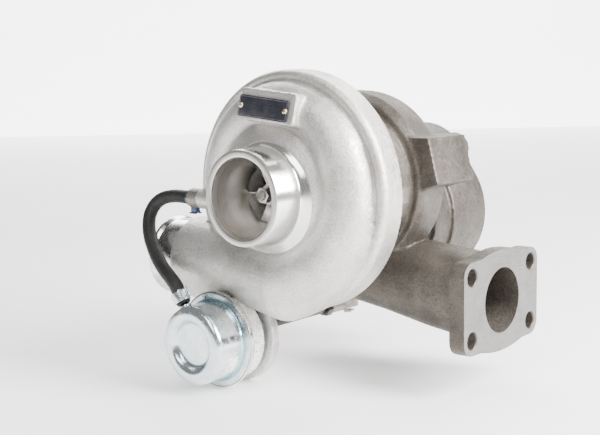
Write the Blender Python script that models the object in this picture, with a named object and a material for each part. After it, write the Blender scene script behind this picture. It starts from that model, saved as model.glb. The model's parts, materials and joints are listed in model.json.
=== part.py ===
"""Turbocharger for a small diesel engine, with a pneumatic wastegate actuator.

Every size below is in millimetres. Shapes are drawn in the shaft frame: the rotor turns
about the Y axis, the compressor's mouth is at y = 0 and faces -Y, the exhaust leaves
towards +Y, and Z is up. The empty "shaft_frame" then carries the whole object to the
exhaust inlet: the part's origin is the centre of the inlet port on its flange face.
Clock positions are seen from the compressor's mouth.
"""

import math

import bmesh
import bpy
from mathutils import Matrix, Vector

MM = 0.001
GAP = 0.3  # space kept between pieces that touch
TURN = 2 * math.pi
FLAT = 1e-4  # a face whose corners lie closer than this to one plane is flat
WELD = 1e-3  # corners closer than this after a Boolean are one corner

# --- compressor housing ---------------------------------------------------------------
MOUTH_R = 30.0  # outside of the inlet spigot
MOUTH_BORE_R = 25.1
INDUCER_R = 20.3
# the machined flare behind the spigot: radius, then y
FLARE = ((30.0, 18.5), (30.6, 20.5), (32.0, 22.3), (34.0, 24.0), (36.0, 25.4), (38.0, 26.4))
FLARE_EDGE_R = 35.3  # where the flare meets the rough casting, on average
FLARE_EDGE_SWAY = 2.3  # the edge is this much wider at the bottom and narrower at the top
BOSS_SLOPE = 0.62  # the casting falls back this steeply outside the flare
WEB_Y = 44.0  # front of the casting between the dome and the bead
BEAD_START_R = 68.5
BEAD_R = 73.5
BEAD_Y = 41.8
BAND_R = 77.5  # outer band of the housing
BAND_FRONT_Y = 46.5
BAND_REAR_Y = 61.0
CORE_R = 8.0  # hole in the blank before the cavity is cut
DIFFUSER_R = 30.2
DIFFUSER_Y = (54.0, 57.5)
DIFFUSER_END_R = 56.0
SPIGOT_R = 50.3  # rear opening that takes the backplate
SPIGOT_Y = 68.5
COLLAR_R = 56.5
SNAP_Y = (64.5, 66.4)
SNAP_R = 52.3
# travel in degrees clockwise from half past seven, then the section's centre radius,
# centre y and outside radius
COVER_SCROLL = (
    (0, 58.5, 47.0, 13.5),
    (45, 57.5, 46.0, 14.2),
    (135, 55.0, 43.5, 15.5),
    (225, 51.0, 42.3, 17.6),
    (285, 53.0, 42.6, 23.5),
    (300, 54.5, 43.2, 24.8),
    (315, 57.0, 44.0, 27.0),
)
# the passage inside the scroll, in the same terms, from its tongue to the discharge
COVER_PASSAGE = (
    (33, 58.0, 46.3, 9.2),
    (135, 55.5, 45.0, 11.0),
    (225, 52.0, 44.0, 12.5),
    (315, 52.0, 40.5, 17.2),
)
OUTLET_Y = 50.0
OUTLET_Z = -51.5
OUTLET_X = -112.0
OUTLET_R = 26.0
OUTLET_BEAD_R = 27.8
OUTLET_BORE_R = 22.4
OUTLET_LIP_X = -88.0
OUTLET_LIP_R = 28.6
COVER_STEPS = 30

# --- actuator -------------------------------------------------------------------------
ACT_X = -46.0
ACT_Y = -3.0  # front of the cap; actuator sizes below count from it
ACT_Z = -98.6
CAP_R = 26.0
RING_R = 32.0
RING_Y = (24.0, 28.5)
CAN_R = 28.5
CAN_END_Y = 44.5
RELIEF = 1.0  # space the casting leaves round the actuator
BRACKET_Y = (42.0, 49.0)
BRACKET_R = 32.0
STROKE = 12.0
STUD_X = 17.0  # studs either side of the rod
STUD_R = 2.9
ROD_R = 3.0

# --- boost hose -----------------------------------------------------------------------
HOSE_R = 4.6
HOSE_BORE_R = 2.7
FITTING_X = -69.5
FITTING_Y = 37.2
FITTING_Z = -8.0
NIPPLE_Y = 12.0
NIPPLE_ANGLE = math.radians(124)
# the route between the two fittings, as x, y, z of its middle
HOSE_ROUTE = (
    (-98.0, 37.4, -8.0),
    (-108.5, 36.0, -10.0),
    (-114.5, 33.0, -15.0),
    (-114.5, 27.8, -22.8),
    (-108.0, 21.4, -32.6),
    (-98.4, 16.6, -43.0),
    (-87.0, 13.0, -52.6),
)

# --- rotor ----------------------------------------------------------------------------
WHEEL_Y = (28.5, 57.2)
WHEEL_BACK_Y = 59.0
WHEEL_R = 29.4
INDUCER_TIP_R = 19.8
NUT_Y = (19.5, 25.5)
STUB_R = 3.0
JOURNAL_R = 5.0
SEAL_HUB_R = 9.0
SEAL_HUB_Y = (101.0, 112.5)
TURBINE_Y = (115.2, 148.0)
TURBINE_R = 26.6
EXDUCER_R = 22.2

# --- centre housing -------------------------------------------------------------------
BEARING_BORE_R = 8.2
BEARING_FRONT_Y = (70.4, 79.0)
BEARING_REAR_Y = (89.0, 97.6)
CENTRE_Y = (64.6, 113.2)
CENTRE_FLANGE_R = 42.0
CENTRE_BODY_R = 29.0
HOT_FLANGE_R = 45.0
HOT_FLANGE_Y = (96.0, 104.0)
NOSE_R = 30.6
OIL_PAD_Z = 41.0
DRAIN_PAD_Z = -44.0
DRAIN_Y = 82.2

# --- turbine housing ------------------------------------------------------------------
HOT_FRONT_Y = 104.3
HOT_BORE_R = 34.0
NOZZLE_Y = (114.6, 122.5)
HOT_SHROUD_R = 27.1
EXDUCER_BORE_R = 22.7
SEAT_Y = 157.0
CHAMBER_END_Y = 200.0
CHAMBER_WALL = 5.0
CHAMBER_CIRCLES = ((0.0, 0.0, 37.0), (3.5, -26.0, 48.0), (-31.0, -42.0, 24.0))
HOT_WALL = 5.0
# travel in degrees clockwise from six o'clock, then centre radius and outside radius
HOT_SCROLL = (
    (0, 59.0, 25.5),
    (90, 49.0, 22.0),
    (180, 43.5, 18.8),
    (270, 43.0, 17.2),
    (330, 44.0, 16.0),
)
HOT_SCROLL_Y = 127.0
HOT_STEPS = 28
FLANGE_X = 106.0
FLANGE_Y = 130.0
FLANGE_Z = -72.0
FLANGE_THICK = 11.5
FLANGE_HALF_Y = 46.0
FLANGE_HALF_Z = 29.5
FLANGE_CORNER = 9.0
FLANGE_BULGE = 3.6
PORT_R = 21.3
FLANGE_HOLE_R = 5.4
FLANGE_HOLE_Y = 36.4
FLANGE_HOLE_Z = 20.0

# --- wastegate ------------------------------------------------------------------------
VALVE_X = -33.0
VALVE_Z = -44.0
VALVE_R = 11.0
VALVE_PORT_R = 8.5
SPINDLE_X = -16.4
SPINDLE_Y = 168.5
SPINDLE_R = 4.0
LEVER_LENGTH = 30.0
LEVER_Z = (-93.4, -89.4)
BOSS_Z = -86.0
PIN_R = 3.0
PIN_HEAD_R = 4.6
PIN_GROOVE_Z = (-104.7, -103.5)
PIN_END_Z = -105.9
CLIP_THICK = 0.7

# --- clamping and small parts ---------------------------------------------------------
BACKPLATE_BOLT_R = 34.0
HOT_BOLT_R = 51.5
PLATE_SIZE = (41.0, 13.3, 0.8)
PLATE_AT = (0.5, 53.8)  # x and z of the plate's middle
PLATE_FACE_Y = 22.4
PLATE_TILT = math.radians(9)
PLATE_ROLL = math.radians(6)  # its right end sits lower
RIVET_X = 18.4

MATERIALS = {
    "cast_aluminium": ((0.60, 0.58, 0.56), 0.55, 0.85),
    "cast_iron": ((0.30, 0.27, 0.24), 0.75, 0.55),
    "machined_aluminium": ((0.78, 0.77, 0.75), 0.25, 1.0),
    "steel": ((0.55, 0.55, 0.55), 0.35, 1.0),
    "heat_steel": ((0.36, 0.32, 0.29), 0.45, 0.9),
    "zinc_plate": ((0.66, 0.70, 0.72), 0.25, 1.0),
    "spring_steel": ((0.42, 0.42, 0.43), 0.35, 1.0),
    "bronze": ((0.62, 0.45, 0.22), 0.35, 1.0),
    "brass": ((0.72, 0.56, 0.28), 0.30, 1.0),
    "hose_rubber": ((0.035, 0.033, 0.03), 0.7, 0.0),
    "seal_rubber": ((0.02, 0.02, 0.02), 0.6, 0.0),
    "plate_black": ((0.03, 0.03, 0.035), 0.4, 0.2),
}


# --- helpers --------------------------------------------------------------------------
def clear_scene():
    for item in list(bpy.data.objects):
        bpy.data.objects.remove(item)


def material(slot):
    found = bpy.data.materials.get(slot)
    if found:
        return found
    colour, roughness, metallic = MATERIALS[slot]
    made = bpy.data.materials.new(slot)
    made.use_nodes = True
    shader = made.node_tree.nodes["Principled BSDF"]
    shader.inputs["Base Color"].default_value = (*colour, 1.0)
    shader.inputs["Roughness"].default_value = roughness
    shader.inputs["Metallic"].default_value = metallic
    return made


def warp(face):
    """How far a face's corners lie from its plane."""
    centre = face.calc_center_median()
    return max(abs((corner.co - centre).dot(face.normal)) for corner in face.verts)


def solid(shape, name="tool"):
    """A bmesh in millimetres becomes an object; its twisted faces become triangles."""
    bmesh.ops.recalc_face_normals(shape, faces=shape.faces)
    twisted = [face for face in shape.faces if warp(face) > FLAT]
    bmesh.ops.triangulate(shape, faces=twisted)
    mesh = bpy.data.meshes.new(name)
    shape.to_mesh(mesh)
    shape.free()
    made = bpy.data.objects.new(name, mesh)
    bpy.context.scene.collection.objects.link(made)
    return made


def combine(body, tool, operation):
    """Join the tool to the body, or cut it away, and drop the tool."""
    step = body.modifiers.new(operation.lower(), "BOOLEAN")
    step.operation = operation
    step.solver = "EXACT"
    step.object = tool
    bpy.context.view_layer.update()
    result = bpy.data.meshes.new_from_object(body.evaluated_get(bpy.context.evaluated_depsgraph_get()))
    body.modifiers.clear()
    tidy = bmesh.new()
    tidy.from_mesh(result)
    bmesh.ops.remove_doubles(tidy, verts=tidy.verts, dist=WELD)
    bmesh.ops.dissolve_degenerate(tidy, edges=tidy.edges, dist=WELD / 10)
    tidy.to_mesh(result)
    tidy.free()
    body.data = result
    bpy.data.objects.remove(tool)
    return body


def join(body, *tools):
    for tool in tools:
        combine(body, tool, "UNION")
    return body


def cut(body, *tools):
    for tool in tools:
        combine(body, tool, "DIFFERENCE")
    return body


def place(body, name, slot, origin=(0, 0, 0), sharp=32):
    """Name a finished solid, shade it, and hang it in the shaft frame about its own origin."""
    body.name = name
    mesh = body.data
    mesh.transform(Matrix.Translation(-Vector(origin)))
    mesh.transform(Matrix.Scale(MM, 4))
    mesh.materials.clear()
    mesh.materials.append(material(slot))
    mesh.shade_smooth()
    mesh.set_sharp_from_angle(angle=math.radians(sharp))
    body.location = Vector(origin) * MM
    body.parent = bpy.data.objects["shaft_frame"]
    return body


def along(direction):
    """Rotation that turns +Y to a direction."""
    return Vector((0, 1, 0)).rotation_difference(Vector(direction)).to_matrix().to_4x4()


def moved(shape, at=(0, 0, 0), direction=(0, 1, 0)):
    shape.transform(Matrix.Translation(Vector(at)) @ along(direction))
    return shape


def loft(rings, looped=False):
    """Skin equal rings of points. Ends are capped unless the rings close on themselves."""
    shape = bmesh.new()
    rows = [[shape.verts.new(point) for point in ring] for ring in rings]
    count = len(rows[0])
    pairs = list(zip(rows, rows[1:]))
    if looped:
        pairs.append((rows[-1], rows[0]))
    for low, high in pairs:
        for k in range(count):
            after = (k + 1) % count
            shape.faces.new((low[k], low[after], high[after], high[k]))
    if not looped:
        shape.faces.new(rows[0])
        shape.faces.new(rows[-1])
    return shape


def lathe(profile, steps=18, at=(0, 0, 0), direction=(0, 1, 0)):
    """Turn a closed profile of (radius, y) points about the Y axis."""
    shape = bmesh.new()
    points = [shape.verts.new((radius, y, 0)) for radius, y in profile]
    on_axis = [radius < 1e-6 for radius, _ in profile]
    edges = []
    for k, point in enumerate(points):
        after = (k + 1) % len(points)
        if not (on_axis[k] and on_axis[after]):
            edges.append(shape.edges.new((point, points[after])))
    bmesh.ops.spin(
        shape, geom=points + edges, cent=(0, 0, 0), axis=(0, 1, 0), angle=TURN, steps=steps, use_merge=True
    )
    bmesh.ops.remove_doubles(shape, verts=shape.verts, dist=1e-5)
    return moved(shape, at, direction)


def cylinder(radius, low, high, steps=14, at=(0, 0, 0), direction=(0, 1, 0), bevel=0.0):
    """A round bar from low to high along its direction, with optional edge chamfers."""
    if not bevel:
        profile = [(0, low), (radius, low), (radius, high), (0, high)]
    else:
        profile = [(0, low), (radius - bevel, low), (radius, low + bevel)]
        profile += [(radius, high - bevel), (radius - bevel, high), (0, high)]
    return lathe(profile, steps, at, direction)


def ring(inner, outer, low, high, steps=20, at=(0, 0, 0), direction=(0, 1, 0)):
    return lathe([(inner, low), (outer, low), (outer, high), (inner, high)], steps, at, direction)


def prism(outline, low, high, at=(0, 0, 0), direction=(0, 1, 0)):
    """Extrude an outline of (x, z) points from y = low to y = high."""
    rings = [[(x, y, z) for x, z in outline] for y in (low, high)]
    return moved(loft(rings), at, direction)


def box(low, high):
    outline = [(low[0], low[2]), (high[0], low[2]), (high[0], high[2]), (low[0], high[2])]
    return prism(outline, low[1], high[1])


def hexagon(across, low, high, at=(0, 0, 0), direction=(0, 1, 0)):
    radius = across / math.sqrt(3)
    outline = [(radius * math.cos(k * TURN / 6), radius * math.sin(k * TURN / 6)) for k in range(6)]
    return prism(outline, low, high, at, direction)


def between(table, travel):
    """Read a scroll table at an angle, eased smoothly from row to row."""
    rows = [row for row in table if row[0] <= travel] or [table[0]]
    before = rows[-1]
    after = next((row for row in table if row[0] > travel), before)
    if after is before:
        return before[1:]
    share = (travel - before[0]) / (after[0] - before[0])
    return tuple(a + (b - a) * share for a, b in zip(before[1:], after[1:]))


def smooth_least(a, b, width):
    """The smaller of two numbers, with the corner rounded over the width."""
    mix = max(width - abs(a - b), 0) / width
    return min(a, b) - mix * mix * width / 4


def dip(radius, centre, size):
    """Height of a circle above its middle at a radius, or None outside it."""
    inside = size * size - (radius - centre) ** 2
    return math.sqrt(inside) if inside > 0 else None


def polar(radius, y, angle):
    return (radius * math.cos(angle), y, radius * math.sin(angle))


def around(centre, radial, size, sides):
    """Points of a circle in the plane of a radial direction and the Y axis."""
    points = []
    for k in range(sides):
        turn = k * TURN / sides
        points.append(
            (
                centre[0] + radial[0] * size * math.cos(turn),
                centre[1] + size * math.sin(turn),
                centre[2] + radial[2] * size * math.cos(turn),
            )
        )
    return points


def smooth_path(points, per_span):
    """A Catmull-Rom curve through the points, ends included."""
    points = [Vector(point) for point in points]
    padded = [2 * points[0] - points[1], *points, 2 * points[-1] - points[-2]]
    path = []
    for a, b, c, d in zip(padded, padded[1:], padded[2:], padded[3:]):
        for k in range(per_span):
            t = k / per_span
            bend = 2 * a - 5 * b + 4 * c - d
            twist = 3 * b - 3 * c + d - a
            path.append(0.5 * (2 * b + (c - a) * t + bend * t**2 + twist * t**3))
    path.append(points[-1])
    return path


def sweep_rings(path, radius, sides):
    """Circles across a path, turned as little as possible from one to the next."""
    rings = []
    normal = None
    for k, point in enumerate(path):
        ahead = path[min(k + 1, len(path) - 1)] - path[max(k - 1, 0)]
        ahead.normalize()
        if normal is None:
            normal = ahead.orthogonal()
        normal = (normal - normal.dot(ahead) * ahead).normalized()
        other = ahead.cross(normal)
        turns = [j * TURN / sides for j in range(sides)]
        rings.append([point + radius * (math.cos(t) * normal + math.sin(t) * other) for t in turns])
    return rings


# --- compressor housing ---------------------------------------------------------------
def cover_section(travel):
    """Centre radius, centre y and outside radius of the scroll at a travel angle."""
    if travel <= 315:
        return between(COVER_SCROLL, travel)
    share = (travel - 315) / 45
    last, first = COVER_SCROLL[-1][1:], COVER_SCROLL[0][1:]
    return tuple(a + (b - a) * share for a, b in zip(last, first))


def bead_front(radius):
    """Front of the casting outside the dome: flat, then a round bead that ends at the band."""
    if radius <= BEAD_START_R:
        return WEB_Y
    if radius <= BEAD_R:
        share = (radius - BEAD_START_R) / (BEAD_R - BEAD_START_R)
        return WEB_Y - (WEB_Y - BEAD_Y) * math.sin(share * math.pi / 2)
    share = min((radius - BEAD_R) / (BAND_R - BEAD_R), 1)
    return BEAD_Y + (BAND_FRONT_Y - BEAD_Y) * (1 - math.sqrt(1 - share * share))


def flare_edge(angle):
    """Radius and y where the machined flare ends at a clock position."""
    radius = FLARE_EDGE_R - FLARE_EDGE_SWAY * math.sin(angle)
    return radius, between(FLARE, radius)[0]


def cover_front(radius, section, edge):
    """The front of the casting at a radius: boss, dome, groove and bead."""
    centre, middle, size = section
    boss = edge[1] + BOSS_SLOPE * (radius - edge[0])
    web = min(bead_front(radius), boss)
    height = dip(radius, centre, size)
    if height is None:
        return web
    return smooth_least(web, middle - height, 3.0)


def cover_rear(radius, section):
    centre, middle, size = section
    height = dip(radius, centre, size)
    return max(BAND_REAR_Y, middle + (height or 0))


def cover_side(y, section, least):
    """Outside radius at a y, where the scroll may outgrow the band."""
    centre, middle, size = section
    return max(least, centre + (dip(y, middle, size) or 0))


def cover_profile(travel, angle):
    """The outside of the housing; cover_cavity clears everything within."""
    section = cover_section(travel)
    edge = flare_edge(angle)
    profile = [(CORE_R, 0), (CORE_R, SPIGOT_Y), (COLLAR_R, SPIGOT_Y)]
    profile += [(radius, cover_rear(radius, section)) for radius in (COLLAR_R + 0.1, 63, 70)]
    profile.append((BAND_R - 0.5, cover_rear(BAND_R - 0.5, section)))
    for y in (BAND_REAR_Y - 0.5, 53.5, BAND_FRONT_Y):
        profile.append((cover_side(y, section, BAND_R), y))
    first = 76.4
    front = cover_front(first, section, edge)
    for share in (0.4, 0.75):
        y = BAND_FRONT_Y + (front - BAND_FRONT_Y) * share
        profile.append((cover_side(y, section, BAND_R + (first - BAND_R) * share), y))
    for radius in (first, 74.8, 73, 70.5, 67.5, 61.5, 55.5, 49, 43, 39):
        profile.append((radius, cover_front(radius, section, edge)))
    profile += [(edge[0] + 0.4, cover_front(edge[0] + 0.4, section, edge)), edge]
    middle = (edge[0] + FLARE[1][0]) / 2
    profile += [(middle, between(FLARE, middle)[0]), FLARE[1], FLARE[0]]
    profile += [(MOUTH_R, 0.7), (MOUTH_R - 0.7, 0)]
    return profile


def cover_cavity():
    """Mouth, wheel shroud, diffuser and the stepped rear opening with its snap ring groove."""
    profile = [(0, -1), (MOUTH_BORE_R + 1.8, -1), (MOUTH_BORE_R, 0.8), (24.9, 5)]
    profile += [(24.2, 11), (22.8, 16), (21.2, 20.5), (20.6, 23), (INDUCER_R, 25)]
    for k in range(4):
        turn = k * math.pi / 6
        profile.append((DIFFUSER_R - (DIFFUSER_R - INDUCER_R) * math.cos(turn), 42 + 12 * math.sin(turn)))
    profile += [(DIFFUSER_END_R, DIFFUSER_Y[0]), (DIFFUSER_END_R, DIFFUSER_Y[1]), (SPIGOT_R, DIFFUSER_Y[1])]
    profile += [(SPIGOT_R, SNAP_Y[0]), (SNAP_R, SNAP_Y[0]), (SNAP_R, SNAP_Y[1]), (SPIGOT_R, SNAP_Y[1])]
    profile += [(SPIGOT_R, SPIGOT_Y + 20), (0, SPIGOT_Y + 20)]
    return solid(lathe(profile, COVER_STEPS))


def cover_casting():
    rings = []
    for k in range(COVER_STEPS):
        travel = 360 * k / COVER_STEPS
        angle = math.radians(225 - travel)
        rings.append([polar(radius, y, angle) for radius, y in cover_profile(travel, angle)])
    return solid(loft(rings, looped=True))


def cover_passage():
    """The air passage: round the scroll, then straight out along -X as a widening cone."""
    rings = []
    stations = 14
    tongue, last = COVER_PASSAGE[0][0], COVER_PASSAGE[-1][0]
    for k in range(stations):
        travel = tongue + (last - tongue) * k / (stations - 1)
        centre, middle, size = between(COVER_PASSAGE, travel)
        angle = math.radians(225 - travel)
        radial = (math.cos(angle), 0, math.sin(angle))
        rings.append(around(polar(centre, middle, angle), radial, size, 10))
    low = Vector((0, middle, -centre))
    for share in (0.25, 0.5, 0.75, 1.02):
        x = OUTLET_X * share
        y = low.y + (OUTLET_Y - low.y) * min(2 * share, 1)
        z = low.z + (OUTLET_Z - low.z) * min(share, 1)
        wide = size + (OUTLET_BORE_R - size) * min(share, 1)
        rings.append(around((x, y, z), (0, 0, -1), wide, 10))
    return solid(loft(rings))


def outlet_casting():
    """The straight discharge: cast as far as its lip, then a machined tube with a bead."""
    first = cover_section(315)
    rows = [
        (4.0, first[2] - 0.4, 0.0),
        (-50.0, 26.5, 1.0),
        (-86.5, OUTLET_LIP_R, 1.0),
        (OUTLET_LIP_X, OUTLET_LIP_R - 1.0, 1.0),
        (OUTLET_LIP_X - 0.4, OUTLET_R, 1.0),
        (-106.5, OUTLET_R, 1.0),
        (-108.0, OUTLET_BEAD_R, 1.0),
        (-110.5, OUTLET_BEAD_R, 1.0),
        (OUTLET_X, OUTLET_R + 0.4, 1.0),
    ]
    rings = []
    for x, size, share in rows:
        y = first[1] + (OUTLET_Y - first[1]) * share
        z = -first[0] + (OUTLET_Z + first[0]) * share
        rings.append(around((x, y, z), (0, 0, -1), size, 20))
    return solid(loft(rings))


def bracket_casting():
    """The plate behind the actuator, with webs that tie it to the scroll."""
    outline = []
    for k in range(13):
        turn = math.radians(150 + 240 * k / 12)
        outline.append((ACT_X + BRACKET_R * math.cos(turn), ACT_Z + BRACKET_R * math.sin(turn)))
    outline += [(ACT_X + 44, ACT_Z + 36), (ACT_X + 10, ACT_Z + 44), (ACT_X - 24, ACT_Z + 38)]
    return solid(prism(outline, *BRACKET_Y))


def actuator_relief():
    """The hollow in the scroll that the actuator nests in."""
    side = CAN_R + RELIEF
    return [
        (0, -10),
        (RING_R + RELIEF, -10),
        (RING_R + RELIEF, RING_Y[1] + RELIEF),
        (side, RING_Y[1] + RELIEF),
        (side, CAN_END_Y - 4.2),
        (side - 1.2, CAN_END_Y - 0.8),
        (side - 4.4, CAN_END_Y + 0.4),
        (0, CAN_END_Y + 0.4),
    ]


def compressor_housing():
    body = cover_casting()
    join(body, outlet_casting(), bracket_casting())
    join(body, solid(cylinder(7.0, -71.5, -57.0, 14, (0, FITTING_Y, FITTING_Z), (1, 0, 0))))
    join(body, solid(plate_pad()))
    cut(body, cover_cavity(), cover_passage())
    cut(body, solid(cylinder(3.6, -75.0, -50.0, 12, (0, FITTING_Y, FITTING_Z), (1, 0, 0))))
    cut(body, solid(cylinder(5.3, -75.0, FITTING_X + 1.5, 14, (0, FITTING_Y, FITTING_Z), (1, 0, 0))))
    cut(body, solid(cylinder(6.6, -80.0, -71.5, 14, (0, FITTING_Y, FITTING_Z), (1, 0, 0))))
    cut(body, solid(lathe(actuator_relief(), 22, (ACT_X, ACT_Y, ACT_Z))))
    cut(body, solid(cylinder(7.5, 40, 56, 14, (ACT_X, 0, ACT_Z))))
    for side in (-1, 1):
        cut(body, solid(cylinder(STUD_R + GAP, 40, 56, 12, (ACT_X + side * STUD_X, 0, ACT_Z))))
    return place(body, "compressor_housing", "cast_aluminium")


def plate_frame():
    """Where the name plate lies: on the dome, leaning back from the vertical."""
    turn = Matrix.Rotation(-PLATE_TILT, 4, "X") @ Matrix.Rotation(PLATE_ROLL, 4, "Y")
    return Matrix.Translation((PLATE_AT[0], PLATE_FACE_Y, PLATE_AT[1])) @ turn


def rounded_box(size, corner, low, high, segments=3):
    """A plate in the X-Z plane with round corners, from y = low to y = high."""
    half_x, half_z = size[0] / 2 - corner, size[1] / 2 - corner
    corners = ((half_x, half_z), (-half_x, half_z), (-half_x, -half_z), (half_x, -half_z))
    outline = []
    for quarter, (x, z) in enumerate(corners):
        for k in range(segments + 1):
            turn = (quarter + k / segments) * math.pi / 2
            outline.append((x + corner * math.cos(turn), z + corner * math.sin(turn)))
    return prism(outline, low, high)


def plate_pad():
    shape = rounded_box((46.0, 20.0), 2.0, 0.0, 12.0)
    shape.transform(plate_frame() @ Matrix.Translation((2.0, 0, 1.5)))
    return shape


def name_plate():
    body = solid(rounded_box(PLATE_SIZE, 1.2, -GAP - PLATE_SIZE[2], -GAP, 3))
    for side in (-1, 1):
        cut(body, solid(cylinder(1.35, -4, 4, 12, (side * RIVET_X, 0, 0))))
    body.data.transform(plate_frame())
    place(body, "name_plate", "plate_black")
    for number, side in enumerate((-1, 1), 1):
        profile = [(0, -0.1), (1.0, -0.1), (1.0, -1.4), (1.9, -1.4), (1.5, -2.1), (0.7, -2.4), (0, -2.45)]
        rivet = solid(lathe(profile, 12, (side * RIVET_X, 0, 0)))
        rivet.data.transform(plate_frame())
        place(rivet, f"plate_rivet_{number}", "brass")


# --- rotor ----------------------------------------------------------------------------
def blade(stations, thickness, turn):
    """One vane, lofted from (hub radius, hub y, tip radius, tip y, lean in degrees) rows."""
    rings = []
    for hub_r, hub_y, tip_r, tip_y, lean in stations:
        angle = turn + math.radians(lean)
        corners = []
        rows = ((hub_r, hub_y, -1), (hub_r, hub_y, 1), (tip_r, tip_y, 1), (tip_r, tip_y, -1))
        for radius, y, sign in rows:
            wide = thickness * (0.7 if radius == tip_r else 1.0)
            corners.append(polar(radius, y, angle + sign * wide / 2 / radius))
        rings.append(corners)
    return solid(loft(rings))


def compressor_wheel():
    low, high = WHEEL_Y
    hub = [(STUB_R + 0.4, 26.0), (6.3, 26.0), (7.0, 27.0), (7.6, 34.0), (9.2, 41.0), (13.0, 48.0)]
    hub += [(19.0, 53.2), (25.0, 56.0), (WHEEL_R, high), (WHEEL_R, high + 0.9), (22.0, WHEEL_BACK_Y - 0.4)]
    hub += [(12.0, WHEEL_BACK_Y + 0.6), (8.0, WHEEL_BACK_Y + 0.6), (STUB_R + 0.4, WHEEL_BACK_Y + 0.6)]
    body = solid(lathe(hub, 18))
    full = (
        (6.4, low, INDUCER_TIP_R, low + 0.6, 0),
        (6.9, 34.0, INDUCER_TIP_R, 35.5, 22),
        (8.4, 41.0, INDUCER_TIP_R, 41.6, 38),
        (13.5, 49.0, 21.0, 48.2, 50),
        (19.5, 54.2, 24.8, 52.9, 64),
        (28.6, 57.4, WHEEL_R, 54.6, 78),
    )
    for k in range(12):
        rows = full if k % 2 == 0 else full[2:]
        join(body, blade(rows, 0.9, -k * TURN / 12))
    return place(body, "compressor_wheel", "machined_aluminium", (0, WHEEL_Y[0], 0))


def shaft_nut():
    low, high = NUT_Y
    body = solid(hexagon(9.0, low + 1, high))
    profile = [(0, low), (3.6, low), (5.9, low + 2.4), (5.9, high + 1), (0, high + 1)]
    combine(body, solid(lathe(profile, 18)), "INTERSECT")
    cut(body, solid(cylinder(STUB_R + 0.3, low - 1, high + 1, 14)))
    return place(body, "shaft_nut", "steel", (0, low, 0))


def turbine_shaft():
    """Shaft, seal hub and turbine wheel, welded into one piece."""
    low, high = TURBINE_Y
    bar = [(0, 18.0), (2.4, 18.0), (STUB_R, 18.6), (STUB_R, 68.6), (JOURNAL_R, 68.6)]
    bar += [(JOURNAL_R, SEAL_HUB_Y[0]), (SEAL_HUB_R, SEAL_HUB_Y[0] + 0.5), (SEAL_HUB_R, 104.6)]
    bar += [(SEAL_HUB_R - 1.6, 104.6), (SEAL_HUB_R - 1.6, 106.6), (SEAL_HUB_R, 106.6)]
    bar += [(SEAL_HUB_R, 114.8), (14.0, low), (23.5, low), (15.0, low + 5.5)]
    bar += [(11.0, low + 12.5), (8.6, 136.0), (7.6, high)]
    bar += [(5.5, high + 3.5), (4.6, high + 3.8), (0, high + 3.8)]
    body = solid(lathe(bar, 18))
    rows = (
        (20.0, low + 0.4, TURBINE_R, low + 0.5, 0),
        (16.0, low + 4.0, TURBINE_R, low + 7.2, 0),
        (10.2, low + 13.0, 23.0, low + 17.0, 8),
        (8.0, 136.0, EXDUCER_R, 139.0, 22),
        (7.0, 146.5, EXDUCER_R, high - 0.6, 42),
    )
    for k in range(10):
        join(body, blade(rows, 1.5, k * TURN / 10))
    return place(body, "turbine_shaft", "heat_steel", (0, SEAL_HUB_Y[0], 0))


def thrust_pack():
    """Flinger sleeve, thrust bearing and thrust collar, from the compressor side."""
    bore = STUB_R + 0.3
    sleeve = [(bore, 60.0), (7.0, 60.0), (7.0, 61.2), (6.0, 61.2), (6.0, 62.6), (7.0, 62.6), (7.0, 63.4)]
    sleeve += [(11.0, 63.8), (11.0, 65.2), (bore, 65.2)]
    place(solid(lathe(sleeve)), "flinger_sleeve", "steel", (0, 60, 0))
    washer = solid(ring(7.6, 19.0, 65.5, 67.6))
    cut(washer, solid(cylinder(1.2, 60, 70, 12, (0, 0, 14.5))))
    place(washer, "thrust_bearing", "bronze", (0, 65.5, 0))
    collar = [(bore, 65.5), (7.2, 65.5), (7.2, 67.9), (11.0, 67.9), (11.0, 69.6), (JOURNAL_R + 0.3, 69.6)]
    collar += [(JOURNAL_R + 0.3, 68.3), (bore, 68.3)]
    place(solid(lathe(collar)), "thrust_collar", "steel", (0, 65.5, 0))


def open_ring(name, slot, inner, outer, low, high, gap):
    """A split ring, with its gap at the top."""
    body = solid(ring(inner, outer, low, high, 18))
    cut(body, solid(box((-gap / 2, low - 1, 0), (gap / 2, high + 1, outer + 1))))
    return place(body, name, slot, (0, low, 0))


def bearings():
    inner = JOURNAL_R + 0.08
    places = (("journal_bearing_front", BEARING_FRONT_Y), ("journal_bearing_rear", BEARING_REAR_Y))
    for name, (low, high) in places:
        body = solid(ring(inner, BEARING_BORE_R - 0.12, low, high, 20))
        for k in range(4):
            turn = k * TURN / 4
            direction = (math.cos(turn), 0, math.sin(turn))
            hole = cylinder(1.1, 4, 9, 8, (0, (low + high) / 2, 0), direction)
            cut(body, solid(hole))
        place(body, name, "bronze", (0, low, 0))
    low, high = BEARING_FRONT_Y[1] + GAP, BEARING_REAR_Y[0] - GAP
    spacer = solid(ring(JOURNAL_R + 1.0, BEARING_BORE_R - 0.3, low, high, 18))
    for side in (-1, 1):
        cut(spacer, solid(cylinder(2.2, 2, 10, 10, (0, 84, 0), (0, 0, side))))
    place(spacer, "bearing_spacer", "steel", (0, 84, 0))
    open_ring("bearing_ring_rear", "spring_steel", 6.4, 8.0, 98.0, 99.2, 3.0)


def seal_rings():
    open_ring("seal_ring_compressor", "spring_steel", 6.3, 8.4, 61.5, 62.3, 0.8)
    open_ring("seal_ring_turbine", "spring_steel", SEAL_HUB_R - 1.3, SEAL_HUB_R + 0.25, 104.9, 106.3, 0.8)


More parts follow.
